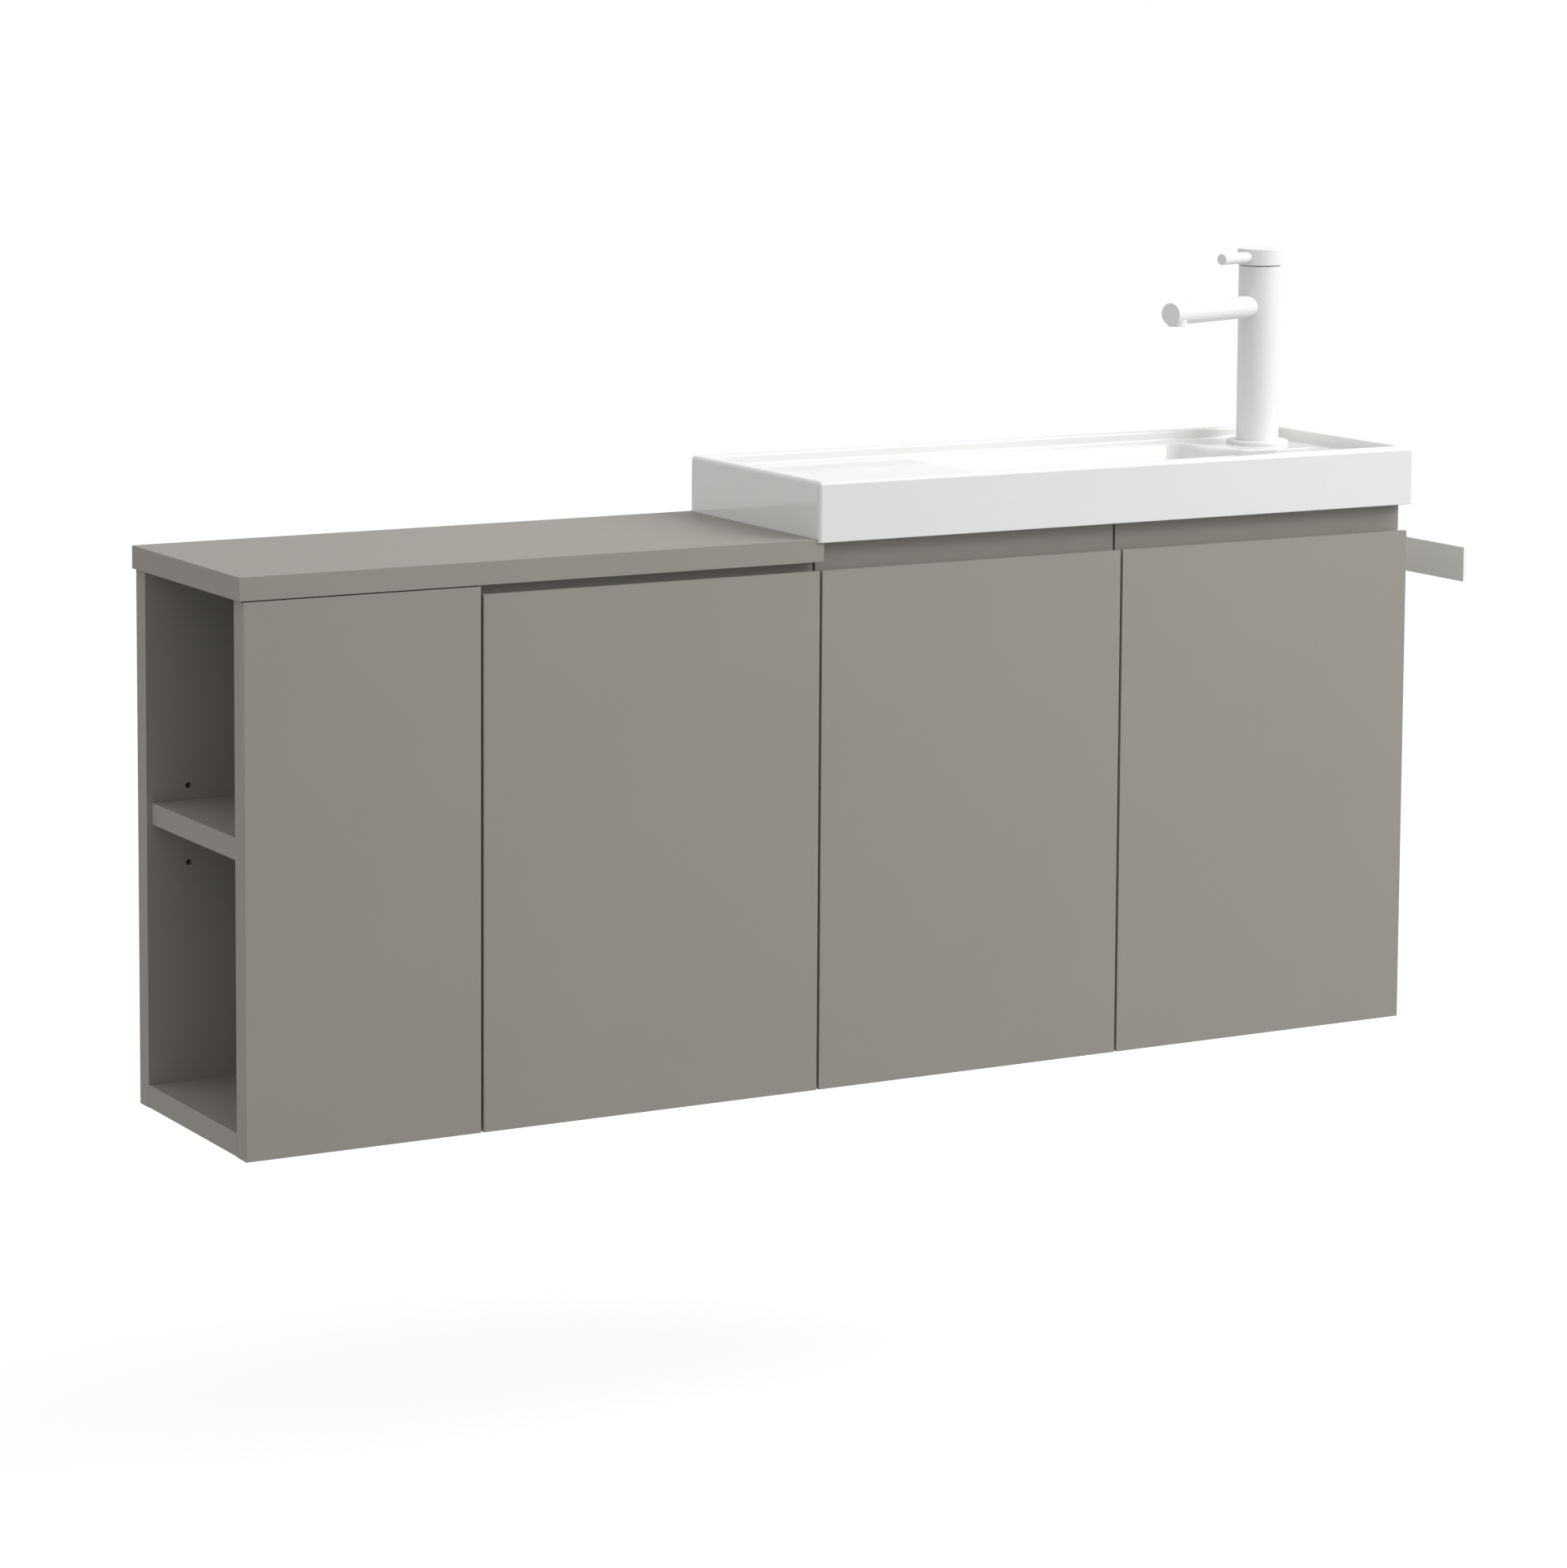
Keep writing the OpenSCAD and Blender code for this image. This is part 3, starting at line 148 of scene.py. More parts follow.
def paint(name, build, **look):
    """A material: its plain settings go on the shader's own sockets, and build adds what varies."""
    material = bpy.data.materials.new(name)
    material.use_nodes = True
    tree = material.node_tree
    shader = tree.nodes["Principled BSDF"]
    for socket, value in look.items():
        shader.inputs[socket.replace("_", " ")].default_value = value
    place = add(tree, "ShaderNodeTexCoord").outputs["Object"]
    build(tree, shader, place)
    return material


def lacquer_pattern(tree, shader, place):
    """Orange peel about 1.5 mm across, and clouds of 90 mm where the spray lay thicker."""
    peel = add(tree, "ShaderNodeTexNoise", {"Vector": place, "Scale": 1 / (1.5 * MM), "Detail": 2.0})
    cloud = add(tree, "ShaderNodeTexNoise", {"Vector": place, "Scale": 1 / (90 * MM), "Detail": 3.0})
    tone = add(tree, "ShaderNodeMix", {0: cloud.outputs["Fac"], 6: linear("9a968f"), 7: linear("9e9a93")},
               data_type="RGBA")
    gloss = add(tree, "ShaderNodeMapRange", {"Value": cloud.outputs["Fac"], "To Min": 0.56, "To Max": 0.64})
    relief = add(tree, "ShaderNodeBump",
                 {"Height": peel.outputs["Fac"], "Strength": 0.25, "Distance": 0.01 * MM})
    tree.links.new(tone.outputs[2], shader.inputs["Base Color"])
    tree.links.new(gloss.outputs[0], shader.inputs["Roughness"])
    tree.links.new(relief.outputs[0], shader.inputs["Normal"])


# Sprayed satin lacquer: a soft even sheen with no grain, slightly uneven as sprayed paint is
satin_lacquer = paint("satin_lacquer_on_fibreboard", lacquer_pattern, IOR=1.45, Specular_IOR_Level=0.3)


SMOOTH_BELOW = math.radians(40)
SHARP_ABOVE = math.radians(35)
FLAT_BELOW = math.radians(0.5)
CAD_MERGE = 0.002 * MM


def only(piece):
    """Selects that piece and nothing else."""
    bpy.ops.object.select_all(action="DESELECT")
    piece.select_set(True)
    bpy.context.view_layer.objects.active = piece


def dressed(piece, body, slot, finish, *nodes):
    """Gives a shaped piece its finish and shading, and its place in the frame instead of those nodes."""
    piece.data.materials.clear()
    piece.data.materials.append(finish)
    for polygon in piece.data.polygons:
        polygon.material_index = 0
    only(piece)
    bpy.ops.object.shade_smooth_by_angle(angle=SMOOTH_BELOW)
    flat_faces = piece.modifiers.new("flat_faces", "WEIGHTED_NORMAL")
    flat_faces.keep_sharp = True
    bpy.ops.object.modifier_apply(modifier=flat_faces.name)
    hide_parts(*nodes)
    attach(piece, body)
    return piece


def finished(node, body, slot, finish, edge, rings=3, shortest=0.0):
    """The node's own shape in the real finish. Its sharp edges are rounded, but for the very short ones."""
    piece = bpy.data.objects.new(node + "_finished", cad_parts[node].data.copy())
    bpy.context.collection.objects.link(piece)
    only(piece)
    if piece.data.has_custom_normals:
        bpy.ops.mesh.customdata_custom_splitnormals_clear()
    bpy.ops.object.mode_set(mode="EDIT")
    bpy.ops.mesh.select_all(action="SELECT")
    bpy.ops.mesh.remove_doubles(threshold=CAD_MERGE)
    bpy.ops.mesh.dissolve_limited(angle_limit=FLAT_BELOW)
    lines = bmesh.from_edit_mesh(piece.data)
    weight = lines.edges.layers.float.new("bevel_weight_edge")
    for line in lines.edges:
        line[weight] = float(line.calc_face_angle(0) > SHARP_ABOVE and line.calc_length() >= shortest)
    bpy.ops.object.mode_set(mode="OBJECT")
    rounding = piece.modifiers.new("rounding", "BEVEL")
    rounding.width = edge
    rounding.segments = rings
    rounding.limit_method = "WEIGHT"
    bpy.ops.object.modifier_apply(modifier=rounding.name)
    return dressed(piece, body, slot, finish, node)


board_edge_min = 4 * MM
for node in ("niche_front_panel", "niche_back_panel", "niche_side_panel", "niche_bottom_panel", "niche_shelf",
             "worktop"):
    finished(node, "cabinet", "front_lacquer", satin_lacquer, 0.3 * MM, shortest=board_edge_min)

# Doors. They are the same fibreboard in the same lacquer, with a finger grip milled in behind the top edge
# and round pockets bored for the cups of two concealed hinges, on which each door hangs.
for node in ("middle_door", "left_sink_door", "right_sink_door"):
    finished(node, node, "front_lacquer", satin_lacquer, 0.6 * MM, shortest=board_edge_min)


# Carcass boards. They are particle board faced with grey melamine and cut square, with a thin strip glued
# round their edges. Bolts join the finished carcasses side by side.
def melamine_pattern(tree, shader, place):
    """The pressed pearl relief of melamine, about 0.8 mm across."""
    pearl = add(tree, "ShaderNodeTexNoise", {"Vector": place, "Scale": 1 / (0.8 * MM), "Detail": 1.0})
    tone = add(tree, "ShaderNodeMix", {0: pearl.outputs["Fac"], 6: linear("938f88"), 7: linear("9a968f")},
               data_type="RGBA")
    relief = add(tree, "ShaderNodeBump",
                 {"Height": pearl.outputs["Fac"], "Strength": 0.4, "Distance": 0.02 * MM})
    tree.links.new(tone.outputs[2], shader.inputs["Base Color"])
    tree.links.new(relief.outputs[0], shader.inputs["Normal"])


# Melamine face: duller than the lacquer, with a fine pressed pearl
melamine = paint("pearl_melamine_face", melamine_pattern, Roughness=0.55, IOR=1.5)

for node in ("middle_left_side", "middle_right_side", "middle_bottom_panel", "middle_top_rail",
             "middle_rear_rail", "sink_left_side", "sink_right_side", "sink_bottom_panel", "sink_rear_rail"):
    finished(node, "cabinet", "carcass_board", melamine, 0.35 * MM, 2, shortest=board_edge_min)


# Dowels. They are turned from beech, with the grain along them, and are glued into both boards of each
# joint in the niche, where nothing shows them.
def beech_pattern(tree, shader, place):
    """Beech flecks, about 1.2 mm apart."""
    fleck = add(tree, "ShaderNodeTexVoronoi", {"Vector": place, "Scale": 1 / (1.2 * MM)})
    tone = add(tree, "ShaderNodeMix",
               {0: fleck.outputs["Distance"], 6: linear("b98f5f"), 7: linear("d3b183")}, data_type="RGBA")
    tree.links.new(tone.outputs[2], shader.inputs["Base Color"])


# Turned beech: pale brown with small darker flecks
turned_beech = paint("turned_beech", beech_pattern, Roughness=0.6)
finished("panel_dowels", "cabinet", "beech", turned_beech, 0.5 * MM, 2)


# Hinges, bolts and shelf pins. They are pressed from steel strip or turned from bar, and nickel plated in a
# barrel. The hinges' cups are sunk in the doors, and their arms are clipped to plates on the carcass.
def nickel_pattern(tree, shader, place):
    """The faint mottling of barrel plating, 2 mm across, in the gloss and the relief."""
    mottle = add(tree, "ShaderNodeTexNoise", {"Vector": place, "Scale": 1 / (2 * MM), "Detail": 2.0})
    gloss = add(tree, "ShaderNodeMapRange", {"Value": mottle.outputs["Fac"], "To Min": 0.24, "To Max": 0.34})
    relief = add(tree, "ShaderNodeBump",
                 {"Height": mottle.outputs["Fac"], "Strength": 0.05, "Distance": 0.02 * MM})
    tree.links.new(gloss.outputs[0], shader.inputs["Roughness"])
    tree.links.new(relief.outputs[0], shader.inputs["Normal"])


# Barrel-plated nickel: a warm mirror broken up by small dents
nickel = paint("barrel_plated_nickel", nickel_pattern, Metallic=1.0, Base_Color=linear("b9b6b0"))

for node, body in (("shelf_pins", "cabinet"), ("hinge_arms", "cabinet"), ("hinge_plates", "cabinet"),
                   ("joining_bolts", "cabinet"), ("towel_bar_screws", "cabinet"),
                   ("middle_hinge_cups", "middle_door"), ("left_hinge_cups", "left_sink_door"),
                   ("right_hinge_cups", "right_sink_door")):
    finished(node, body, "nickel_steel", nickel, 0.2 * MM, 2)


# Screws and hanging rails. They are steel, cold headed or roll formed, with bright zinc plate, which is a
# greyer and duller coat than the nickel. The rails are screwed to the wall and carry the cabinets' hooks.
def zinc_pattern(tree, shader, place):
    """Zinc's cloudy tone and gloss, in patches of 5 mm."""
    cloud = add(tree, "ShaderNodeTexNoise", {"Vector": place, "Scale": 1 / (5 * MM), "Detail": 5.0})
    tone = add(tree, "ShaderNodeMix", {0: cloud.outputs["Fac"], 6: linear("96999b"), 7: linear("b4b6b7")},
               data_type="RGBA")
    gloss = add(tree, "ShaderNodeMapRange", {"Value": cloud.outputs["Fac"], "To Min": 0.32, "To Max": 0.48})
    tree.links.new(tone.outputs[2], shader.inputs["Base Color"])
    tree.links.new(gloss.outputs[0], shader.inputs["Roughness"])


# Bright zinc plate: cloudy blue-grey metal
zinc = paint("bright_zinc_plate", zinc_pattern, Metallic=1.0)

for node, body in (("hinge_plate_screws", "cabinet"), ("bracket_hooks", "cabinet"),
                   ("bracket_adjusters", "cabinet"), ("bracket_screws", "cabinet"),
                   ("middle_wall_rail", "cabinet"), ("sink_wall_rail", "cabinet"),
                   ("middle_cup_screws", "middle_door"), ("left_cup_screws", "left_sink_door"),
                   ("right_cup_screws", "right_sink_door")):
    finished(node, body, "zinc_steel", zinc, 0.2 * MM, 2)


# Door bumpers, hanging brackets and the tap's cartridge. They are injection moulded in white plastic. The
# bumpers are glued on, the brackets screwed to the carcass, and the cartridge is pushed into the tap's body.
def moulded_pattern(tree, shader, place):
    """The spark-eroded grain of the mould, about 0.6 mm across."""
    grain = add(tree, "ShaderNodeTexNoise", {"Vector": place, "Scale": 1 / (0.6 * MM), "Detail": 2.0})
    relief = add(tree, "ShaderNodeBump",
                 {"Height": grain.outputs["Fac"], "Strength": 0.3, "Distance": 0.02 * MM})
    tree.links.new(relief.outputs[0], shader.inputs["Normal"])


# Moulded ABS: an even white with a dull grain
moulded_abs = paint("moulded_white_abs", moulded_pattern, Roughness=0.42, IOR=1.54,
                    Base_Color=linear("e6e6e2"))

for node in ("door_bumpers", "hanging_brackets", "tap_cartridge"):
    finished(node, "cabinet", "white_plastic", moulded_abs, 0.3 * MM, 2)


# Basin. It is slip-cast vitreous china, dipped in white glaze and fired, so every edge is soft. It lies on
# the sink cabinet, and a rebate under its left end laps over the worktop. Its bowl is cut out of a rounded
# block by skins through rings of points, because no primitive has the form of its walls round the tap deck.
def glaze_pattern(tree, shader, place):
    """The slow waves of fired glaze, about 25 mm across and a few hundredths of a millimetre high."""
    wave = add(tree, "ShaderNodeTexNoise", {"Vector": place, "Scale": 1 / (25 * MM), "Detail": 1.0})
    tone = add(tree, "ShaderNodeMix", {0: wave.outputs["Fac"], 6: linear("eaeae9"), 7: linear("edecea")},
               data_type="RGBA")
    relief = add(tree, "ShaderNodeBump",
                 {"Height": wave.outputs["Fac"], "Strength": 0.2, "Distance": 0.1 * MM})
    tree.links.new(tone.outputs[2], shader.inputs["Base Color"])
    tree.links.new(relief.outputs[0], shader.inputs["Normal"])


# Fired white glaze: glassy, over a clean white body
white_glaze = paint("fired_white_glaze", glaze_pattern, Roughness=0.10, IOR=1.52)

low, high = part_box("ceramic_basin")
basin_place = Vector((low.x, 0, high.z))
basin_w = high.x - low.x
basin_d = -low.y
basin_edge_r = 4 * MM
basin_under_r = 0.8 * MM
side_h = 51.5 * MM
rim_w = 12 * MM
rim_lip_r = 2.5 * MM
rim_foot_r = 3 * MM
rim_corner_r = 6 * MM
deck_z = -10.3 * MM
floor_drop = -55.5 * MM
shell_z = -65.5 * MM
wall_t = 10 * MM
# Corners of the bowl at the level of the shelf: from the left end, from the wall, rounding, soft lip
BOWL_TOP = ((205, -18, 12, 3.5), (205, -204.5, 12, 3.5), (436.7, -204.5, 40, 2.5), (594, -111, 5, 1.5),
            (542.7, -112, 12, 1.5), (512.7, -100, 12, 3), (494.7, -62, 12, 9), (494.7, -18, 14, 5))
# Corners of the bowl's floor: from the left end, from the wall, rounding
BOWL_FLOOR = ((263, -32, 25), (263, -186.5, 25), (442.7, -177, 35), (502.7, -114, 12), (499.5, -104, 8),
              (494.7, -84, 8), (489.7, -64, 8), (488.7, -32, 14))
back_lip = 3 * MM
bowl_foot_r = 7 * MM
# Steps of the shell's rounded foot: the share of the wall that it stands out, and its height in mm
SHELL_FOOT = ((0.8, 5), (0.5, 1.5), (0, 0))
ARC_STEPS = 6
FOOT_STEPS = 8
cut_over = 2 * MM
waste_at = Vector((360 * MM, -104 * MM, 0))
waste_hole_r = 22.5 * MM
flange_r = 31.5 * MM
flange_sunk = 2.5 * MM
tap_at = Vector((basin_w - 52.7 * MM, -57 * MM, 0))
tap_hole_r = 17.5 * MM
rebate_w = 6.9 * MM
rebate_d = 220.4 * MM
rebate_top = -48.4 * MM
NEW_MERGE = 0.001 * MM
CORNER_ABOVE = 1.2


def rounded(corners, steps=8):
    """Points round an outline with rounded corners, each with the way out of the outline and its corner."""
    places = [Vector(corner[:2]) for corner in corners]
    around = sum(places[i - 1].cross(places[i]) for i in range(len(places)))
    made = []
    for i, here in enumerate(places):
        radius = corners[i][2]
        if not radius:
            made.append((here, Vector((0, 0)), corners[i]))
            continue
        before = (places[i - 1] - here).normalized()
        after = (places[(i + 1) % len(places)] - here).normalized()
        half = before.angle(after) / 2
        centre = here + (before + after).normalized() * radius / math.sin(half)
        arm = here + before * radius / math.tan(half) - centre
        sweep = math.pi - 2 * half if before.cross(after) < 0 else 2 * half - math.pi
        outward = math.copysign(1, -around * before.cross(after))
        for k in range(steps + 1):
            reach = Matrix.Rotation(sweep * k / steps, 2) @ arm
            made.append((centre + reach, reach.normalized() * outward, corners[i]))
    return made


def skin(name, rings):
    """A closed skin through rings of points: a tube is pulled from a circle, then each ring is placed."""
    bpy.ops.object.select_all(action="DESELECT")
    bpy.ops.mesh.primitive_circle_add(vertices=len(rings[0]), radius=1, fill_type="NOTHING")
    piece = bpy.context.object
    piece.name = name
    bpy.ops.object.mode_set(mode="EDIT")
    for ring in rings[1:]:
        bpy.ops.mesh.extrude_edges_move(TRANSFORM_OT_translate={"value": (0, 0, 1)})
    bpy.ops.object.mode_set(mode="OBJECT")
    first = math.atan2(piece.data.vertices[0].co.y, piece.data.vertices[0].co.x)
    for vertex in piece.data.vertices:
        share = (math.atan2(vertex.co.y, vertex.co.x) - first) / math.tau
        vertex.co = rings[round(vertex.co.z)][round(share * len(rings[0])) % len(rings[0])]
    bpy.ops.object.mode_set(mode="EDIT")
    bpy.ops.mesh.select_all(action="SELECT")
    bpy.ops.mesh.remove_doubles(threshold=NEW_MERGE)
    bpy.ops.mesh.fill_holes(sides=0)
    bpy.ops.mesh.normals_make_consistent(inside=False)
    bpy.ops.object.mode_set(mode="OBJECT")
    return piece


def carve(piece, tool, kind="DIFFERENCE"):
    """Cuts the tool out of the piece, or joins it on, and clears the tool away."""
    only(piece)
    step = piece.modifiers.new("carving", "BOOLEAN")
    step.object = tool
    step.operation = kind
    step.solver = "EXACT"
    bpy.ops.object.modifier_apply(modifier=step.name)
    bpy.data.objects.remove(tool)


def settled(name):
    """Names the newest piece and puts its place into its mesh."""
    piece = bpy.context.object
    piece.name = name
    bpy.ops.object.transform_apply(location=True, rotation=True, scale=True)
    return piece


def block(name, lowest, highest):
    """A plain block between two corners."""
    lowest, highest = Vector(lowest), Vector(highest)
    bpy.ops.object.select_all(action="DESELECT")
    bpy.ops.mesh.primitive_cube_add(size=1, location=(lowest + highest) / 2, scale=highest - lowest)
    return settled(name)


def drill(centre, radius, lowest, highest):
    """A round upright cutter."""
    bpy.ops.object.select_all(action="DESELECT")
    bpy.ops.mesh.primitive_cylinder_add(vertices=96, radius=radius, depth=highest - lowest,
                                        location=(centre.x, centre.y, (lowest + highest) / 2))
    return settled("drill")


basin = block("ceramic_basin_finished", (0, -basin_d, -side_h), (basin_w, 0, 0))
only(basin)
bpy.ops.object.mode_set(mode="EDIT")
for radius, upper in ((basin_edge_r, True), (basin_under_r, False)):
    lines = bmesh.from_edit_mesh(basin.data)
    for line in lines.edges:
        reaches_up = max(end.co.z for end in line.verts) > -side_h / 2
        line.select_set(line.calc_face_angle(0) > CORNER_ABOVE and reaches_up == upper)
    bpy.ops.mesh.bevel(offset=radius, segments=8, affect="EDGES")
bpy.ops.object.mode_set(mode="OBJECT")
carve(basin, block("hollow", (wall_t, wall_t - basin_d, -2 * side_h),
                   (basin_w - wall_t, -wall_t, deck_z - wall_t)))

top_line = [(Vector((*p, 0)) * MM, Vector((*way, 0)), corner[3] * MM) for p, way, corner in rounded(BOWL_TOP)]
floor_line = [(Vector((*p, 0)) * MM, Vector((*way, 0))) for p, way, corner in rounded(BOWL_FLOOR)]
shell = [[p + way * wall_t + Vector((0, 0, deck_z - wall_t / 3)) for p, way, lip in top_line]]
for grow, z in SHELL_FOOT:
    shell.append([p + way * grow * wall_t + Vector((0, 0, shell_z + z * MM)) for p, way in floor_line])
carve(basin, skin("shell", shell), "UNION")

rim_line = [(Vector((*p, 0)), Vector((*way, 0))) for p, way, corner in rounded(
    ((rim_w, -rim_w, rim_corner_r), (rim_w, rim_w - basin_d, rim_corner_r),
     (basin_w - rim_w, rim_w - basin_d, rim_corner_r), (basin_w - rim_w, -rim_w, rim_corner_r)))]
quarter = [math.radians(90 * k / ARC_STEPS) for k in range(ARC_STEPS + 1)]
profile = [(rim_lip_r, cut_over)]
for turn in quarter:
    profile.append((rim_lip_r * (1 - math.sin(turn)), rim_lip_r * (math.cos(turn) - 1)))
for turn in quarter:
    profile.append((rim_foot_r * (math.cos(turn) - 1), deck_z + rim_foot_r * (1 - math.sin(turn))))
carve(basin, skin("rim_pocket", [[p + way * out + Vector((0, 0, z)) for p, way in rim_line]
                                 for out, z in profile]))


def bend(a, b, c, share):
    """A point on the curve that leaves a towards b and arrives at c."""
    return a.lerp(b, share).lerp(b.lerp(c, share), share)


walls = []
for (p, way, lip), (q, low_way) in zip(top_line, floor_line):
    edge, foot = p + Vector((0, 0, deck_z)), q + Vector((0, 0, floor_drop))
    start = edge + Vector((way.x * lip, way.y * min(lip, back_lip), 0))
    walls.append((start, edge, edge + (foot - edge).normalized() * lip,
                  foot + (edge - foot).normalized() * bowl_foot_r, foot, foot - low_way * bowl_foot_r))
bowl = [[wall[0] + Vector((0, 0, cut_over)) for wall in walls]]
for k in range(ARC_STEPS + 1):
    bowl.append([bend(*wall[:3], k / ARC_STEPS) for wall in walls])
for k in range(FOOT_STEPS + 1):
    bowl.append([bend(*wall[3:], k / FOOT_STEPS) for wall in walls])
carve(basin, skin("bowl", bowl))
carve(basin, drill(tap_at, tap_hole_r, deck_z - 2 * wall_t, 0))
carve(basin, drill(waste_at, waste_hole_r, shell_z - wall_t, floor_drop + wall_t))
carve(basin, drill(waste_at, flange_r, floor_drop - flange_sunk, floor_drop + wall_t))
carve(basin, block("worktop_rebate", (-MM, -rebate_d, -side_h - MM), (rebate_w, MM, rebate_top)))
only(basin)
basin.location = basin_place
dressed(settled(basin.name), "cabinet", "white_glaze", white_glaze, "ceramic_basin")


# Waste and trap. They are turned and cast brass, polished and chromed, and screwed together by their nuts.
# The waste's nut clamps it to the basin. Black rubber rings seal the waste and the tap.
def chrome_pattern(tree, shader, place):
    """Polishing lines, half a millimetre apart, that only just break the mirror."""
    line = add(tree, "ShaderNodeTexNoise", {"Vector": place, "Scale": 1 / (0.5 * MM), "Detail": 2.0})
    gloss = add(tree, "ShaderNodeMapRange", {"Value": line.outputs["Fac"], "To Min": 0.04, "To Max": 0.10})
    tree.links.new(gloss.outputs[0], shader.inputs["Roughness"])


# Polished chrome: a cool clear mirror
chrome = paint("polished_chrome_on_brass", chrome_pattern, Metallic=1.0, Base_Color=linear("c8cacc"))

for node, body in (("waste_body", "cabinet"), ("waste_nut", "cabinet"), ("waste_plug", "waste_plug"),
                   ("trap_tailpipe", "cabinet"), ("trap_bottle", "cabinet"), ("trap_cup", "cabinet"),
                   ("trap_nuts", "cabinet"), ("outlet_pipe", "cabinet"), ("wall_escutcheon", "cabinet"),
                   ("tap_stem", "tap_handle"), ("tap_nut", "cabinet")):
    finished(node, body, "chrome", chrome, 0.3 * MM, 2)


def rubber_pattern(tree, shader, place):
    """A matt bloom in patches of 3 mm."""
    bloom = add(tree, "ShaderNodeTexNoise", {"Vector": place, "Scale": 1 / (3 * MM), "Detail": 2.0})
    tone = add(tree, "ShaderNodeMix", {0: bloom.outputs["Fac"], 6: linear("2c2c2c"), 7: linear("404040")},
               data_type="RGBA")
    tree.links.new(tone.outputs[2], shader.inputs["Base Color"])


# Nitrile rubber: nearly black and matt, with a pale bloom
rubber = paint("moulded_black_rubber", rubber_pattern, Roughness=0.75)

for node in ("waste_gasket", "tap_washer"):
    finished(node, "cabinet", "black_rubber", rubber, 0.4 * MM, 2)


# Tap. Its foot ring, body, spout, cap and lever are turned brass with a baked satin white powder coat. The
# body's shank goes through the basin to a nut, the spout is fixed in the body, and the lever in the cap.
def powder_pattern(tree, shader, place):
    """The fine pebble of powder coat, about 0.7 mm across."""
    pebble = add(tree, "ShaderNodeTexNoise", {"Vector": place, "Scale": 1 / (0.7 * MM), "Detail": 2.0})
    relief = add(tree, "ShaderNodeBump",
                 {"Height": pebble.outputs["Fac"], "Strength": 0.2, "Distance": 0.01 * MM})
    tree.links.new(relief.outputs[0], shader.inputs["Normal"])


# Satin powder coat: a clean white with a soft broad highlight
powder_coat = paint("satin_white_powder_coat", powder_pattern, Roughness=0.45, IOR=1.5,
                    Specular_IOR_Level=0.35, Base_Color=linear("eaeae9"))

low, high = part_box("tap_foot_ring")
tap_foot = Vector(((low.x + high.x) / 2, (low.y + high.y) / 2, low.z))
spout_way = math.radians(200)
body_r = 19.15 * MM
body_top = 161.8 * MM
shank_r = 16 * MM
shank_end = -36 * MM
cartridge_r = 15 * MM
cartridge_foot = body_top - 42 * MM
chamber_r = 9 * MM
chamber_foot = -10 * MM
inlet_r = 5 * MM
inlet_off = 7 * MM
foot_r = 27.75 * MM
foot_h = 3.4 * MM
cap_r = 20.3 * MM
cap_h = 14.8 * MM
cap_z = body_top + 0.8 * MM
stem_hole_r = 4.1 * MM
stem_hole_h = 5.1 * MM
spout_z = 125.2 * MM
spout_r = 10 * MM
spout_bore_r = 7 * MM
spout_start = 15.9 * MM
spout_end = 137 * MM
spout_hole_end = 38 * MM
aerator_x = spout_end - 10.5 * MM
mouth_r = 8.8 * MM
mouth_roof = 0.4 * MM
lever_r = 5 * MM
lever_start = 12.4 * MM
lever_end = 60 * MM
lever_hole_end = 30 * MM
fit = 0.1 * MM


def turned(name, corners):
    """A piece turned on a lathe: a disc is pulled along and scaled to each step of its section."""
    section = [p for p, way, corner in rounded(corners, 6)]
    bpy.ops.object.select_all(action="DESELECT")
    bpy.ops.mesh.primitive_circle_add(vertices=96, radius=section[0].x, fill_type="NGON",
                                      location=(0, 0, section[0].y))
    piece = settled(name)
    bpy.ops.object.mode_set(mode="EDIT")
    bpy.ops.mesh.select_all(action="SELECT")
    for before, after in zip(section, section[1:]):
        bpy.ops.mesh.extrude_region_move(TRANSFORM_OT_translate={"value": (0, 0, after.y - before.y)})
        wider = after.x / before.x
        bpy.ops.transform.resize(value=(wider, wider, 1), center_override=(0, 0, 0))
    bpy.ops.mesh.select_all(action="SELECT")
    bpy.ops.mesh.remove_doubles(threshold=NEW_MERGE)
    bpy.ops.mesh.normals_make_consistent(inside=False)
    bpy.ops.object.mode_set(mode="OBJECT")
    return piece


def laid(piece, height):
    """Turns an upright piece along the spout's direction, at that height above the deck."""
    only(piece)
    piece.matrix_world = (Matrix.Translation((0, 0, height)) @ Matrix.Rotation(spout_way, 4, "Z")
                          @ Matrix.Rotation(math.radians(90), 4, "Y"))
    return settled(piece.name)


ring = turned("tap_foot_ring_finished", (
    (shank_r, 0, 0), (foot_r, 0, 0.3 * MM), (foot_r, foot_h, 1.2 * MM), (shank_r, foot_h, 0)))
carve(ring, drill(Vector(), shank_r + fit, -foot_h, 2 * foot_h))
body = turned("tap_body_finished", (
    (shank_r - MM, shank_end, 0), (shank_r, shank_end, 0.5 * MM), (shank_r, foot_h, 0),
    (body_r, foot_h, 0.2 * MM), (body_r, body_top, 0.4 * MM), (cartridge_r, body_top, 0),
    (cartridge_r, cartridge_foot, 0), (chamber_r, cartridge_foot, 0), (chamber_r, chamber_foot, 0)))
carve(body, laid(turned("spout_hole", ((spout_r + fit, 0, 0), (spout_r + fit, spout_hole_end, 0))), spout_z))
for side in (-inlet_off, inlet_off):
    centre = Matrix.Rotation(spout_way, 3, "Z") @ Vector((side, 0, 0))
    carve(body, drill(centre, inlet_r, shank_end - MM, chamber_foot + MM))
spout = laid(turned("tap_spout_finished", (
    (spout_bore_r, aerator_x, 0), (spout_bore_r, spout_start, 0), (spout_r, spout_start, 0.3 * MM),
    (spout_r, spout_end, 0.5 * MM), (spout_r - MM, spout_end, 0))), spout_z)
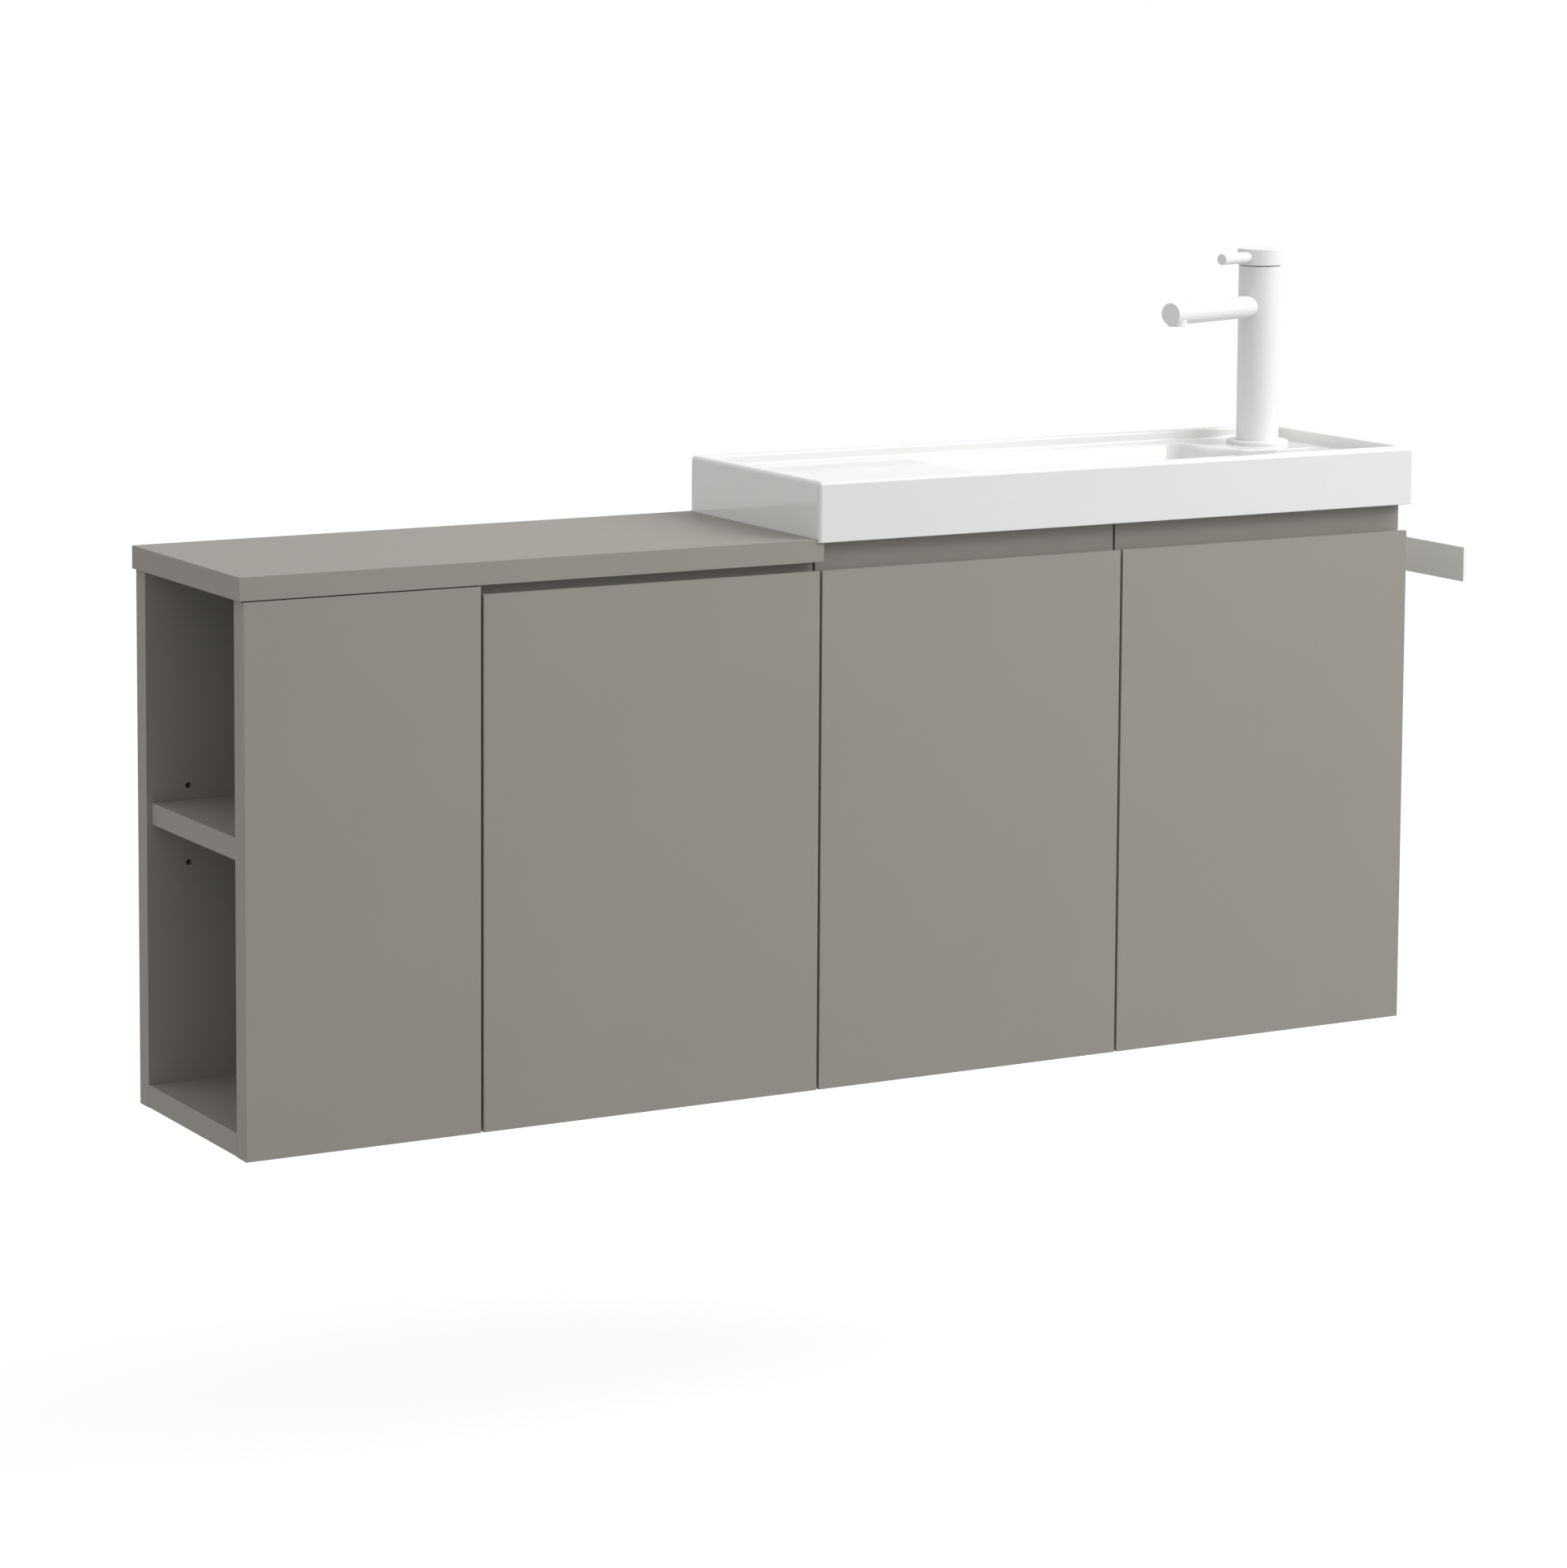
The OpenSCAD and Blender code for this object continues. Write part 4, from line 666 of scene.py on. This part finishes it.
mouth = Matrix.Rotation(spout_way, 3, "Z") @ Vector((aerator_x, 0, 0))
carve(spout, drill(mouth, mouth_r, spout_z - 2 * spout_r, spout_z + mouth_roof))
cap = turned("tap_cap_finished", (
    (stem_hole_r, stem_hole_h, 0), (stem_hole_r, 0, 0), (cap_r, 0, 0.3 * MM), (cap_r, cap_h, 0.7 * MM),
    (cap_r - 2 * MM, cap_h, 0)))
only(cap)
cap.location.z = cap_z
cap = settled(cap.name)
lever_hole = turned("lever_hole", ((lever_r + fit, lever_start - fit, 0), (lever_r + fit, lever_hole_end, 0)))
carve(cap, laid(lever_hole, cap_z + cap_h / 2))
lever = laid(turned("tap_lever_finished", (
    (lever_r - MM, lever_start, 0), (lever_r, lever_start, 0.3 * MM), (lever_r, lever_end, 0.5 * MM),
    (lever_r - MM, lever_end, 0))), cap_z + cap_h / 2)
for piece, node, part in ((ring, "tap_foot_ring", "cabinet"), (body, "tap_body", "cabinet"),
                          (spout, "tap_spout", "cabinet"), (cap, "tap_cap", "tap_handle"),
                          (lever, "tap_lever", "tap_handle")):
    only(piece)
    piece.location = tap_foot
    dressed(settled(piece.name), part, "satin_white", powder_coat, node)
finished("tap_aerator", "cabinet", "satin_white", powder_coat, 0.3 * MM, 2)


# Towel bar. It is flat aluminium, bent twice, blasted with fine glass beads and clear anodised. Two screws
# through its foot hold it to the sink cabinet's right side.
def blasted_pattern(tree, shader, place):
    """The beads' dimples. Real ones are about 0.1 mm across, and these are drawn 0.5 mm across to show."""
    dimple = add(tree, "ShaderNodeTexNoise", {"Vector": place, "Scale": 1 / (0.5 * MM), "Detail": 2.0})
    gloss = add(tree, "ShaderNodeMapRange", {"Value": dimple.outputs["Fac"], "To Min": 0.55, "To Max": 0.65})
    relief = add(tree, "ShaderNodeBump",
                 {"Height": dimple.outputs["Fac"], "Strength": 0.15, "Distance": 0.01 * MM})
    tree.links.new(gloss.outputs[0], shader.inputs["Roughness"])
    tree.links.new(relief.outputs[0], shader.inputs["Normal"])


# Blasted and anodised aluminium: the oxide scatters the light, so the bar looks nearer to pale grey paint
# than to a mirror, and its metal only shows as a faint sheen
anodised = paint("bead_blasted_anodised_aluminium", blasted_pattern, Metallic=0.35,
                 Base_Color=linear("ebebe8"))
finished("towel_bar", "cabinet", "bar_metal", anodised, 0.4 * MM, 2)
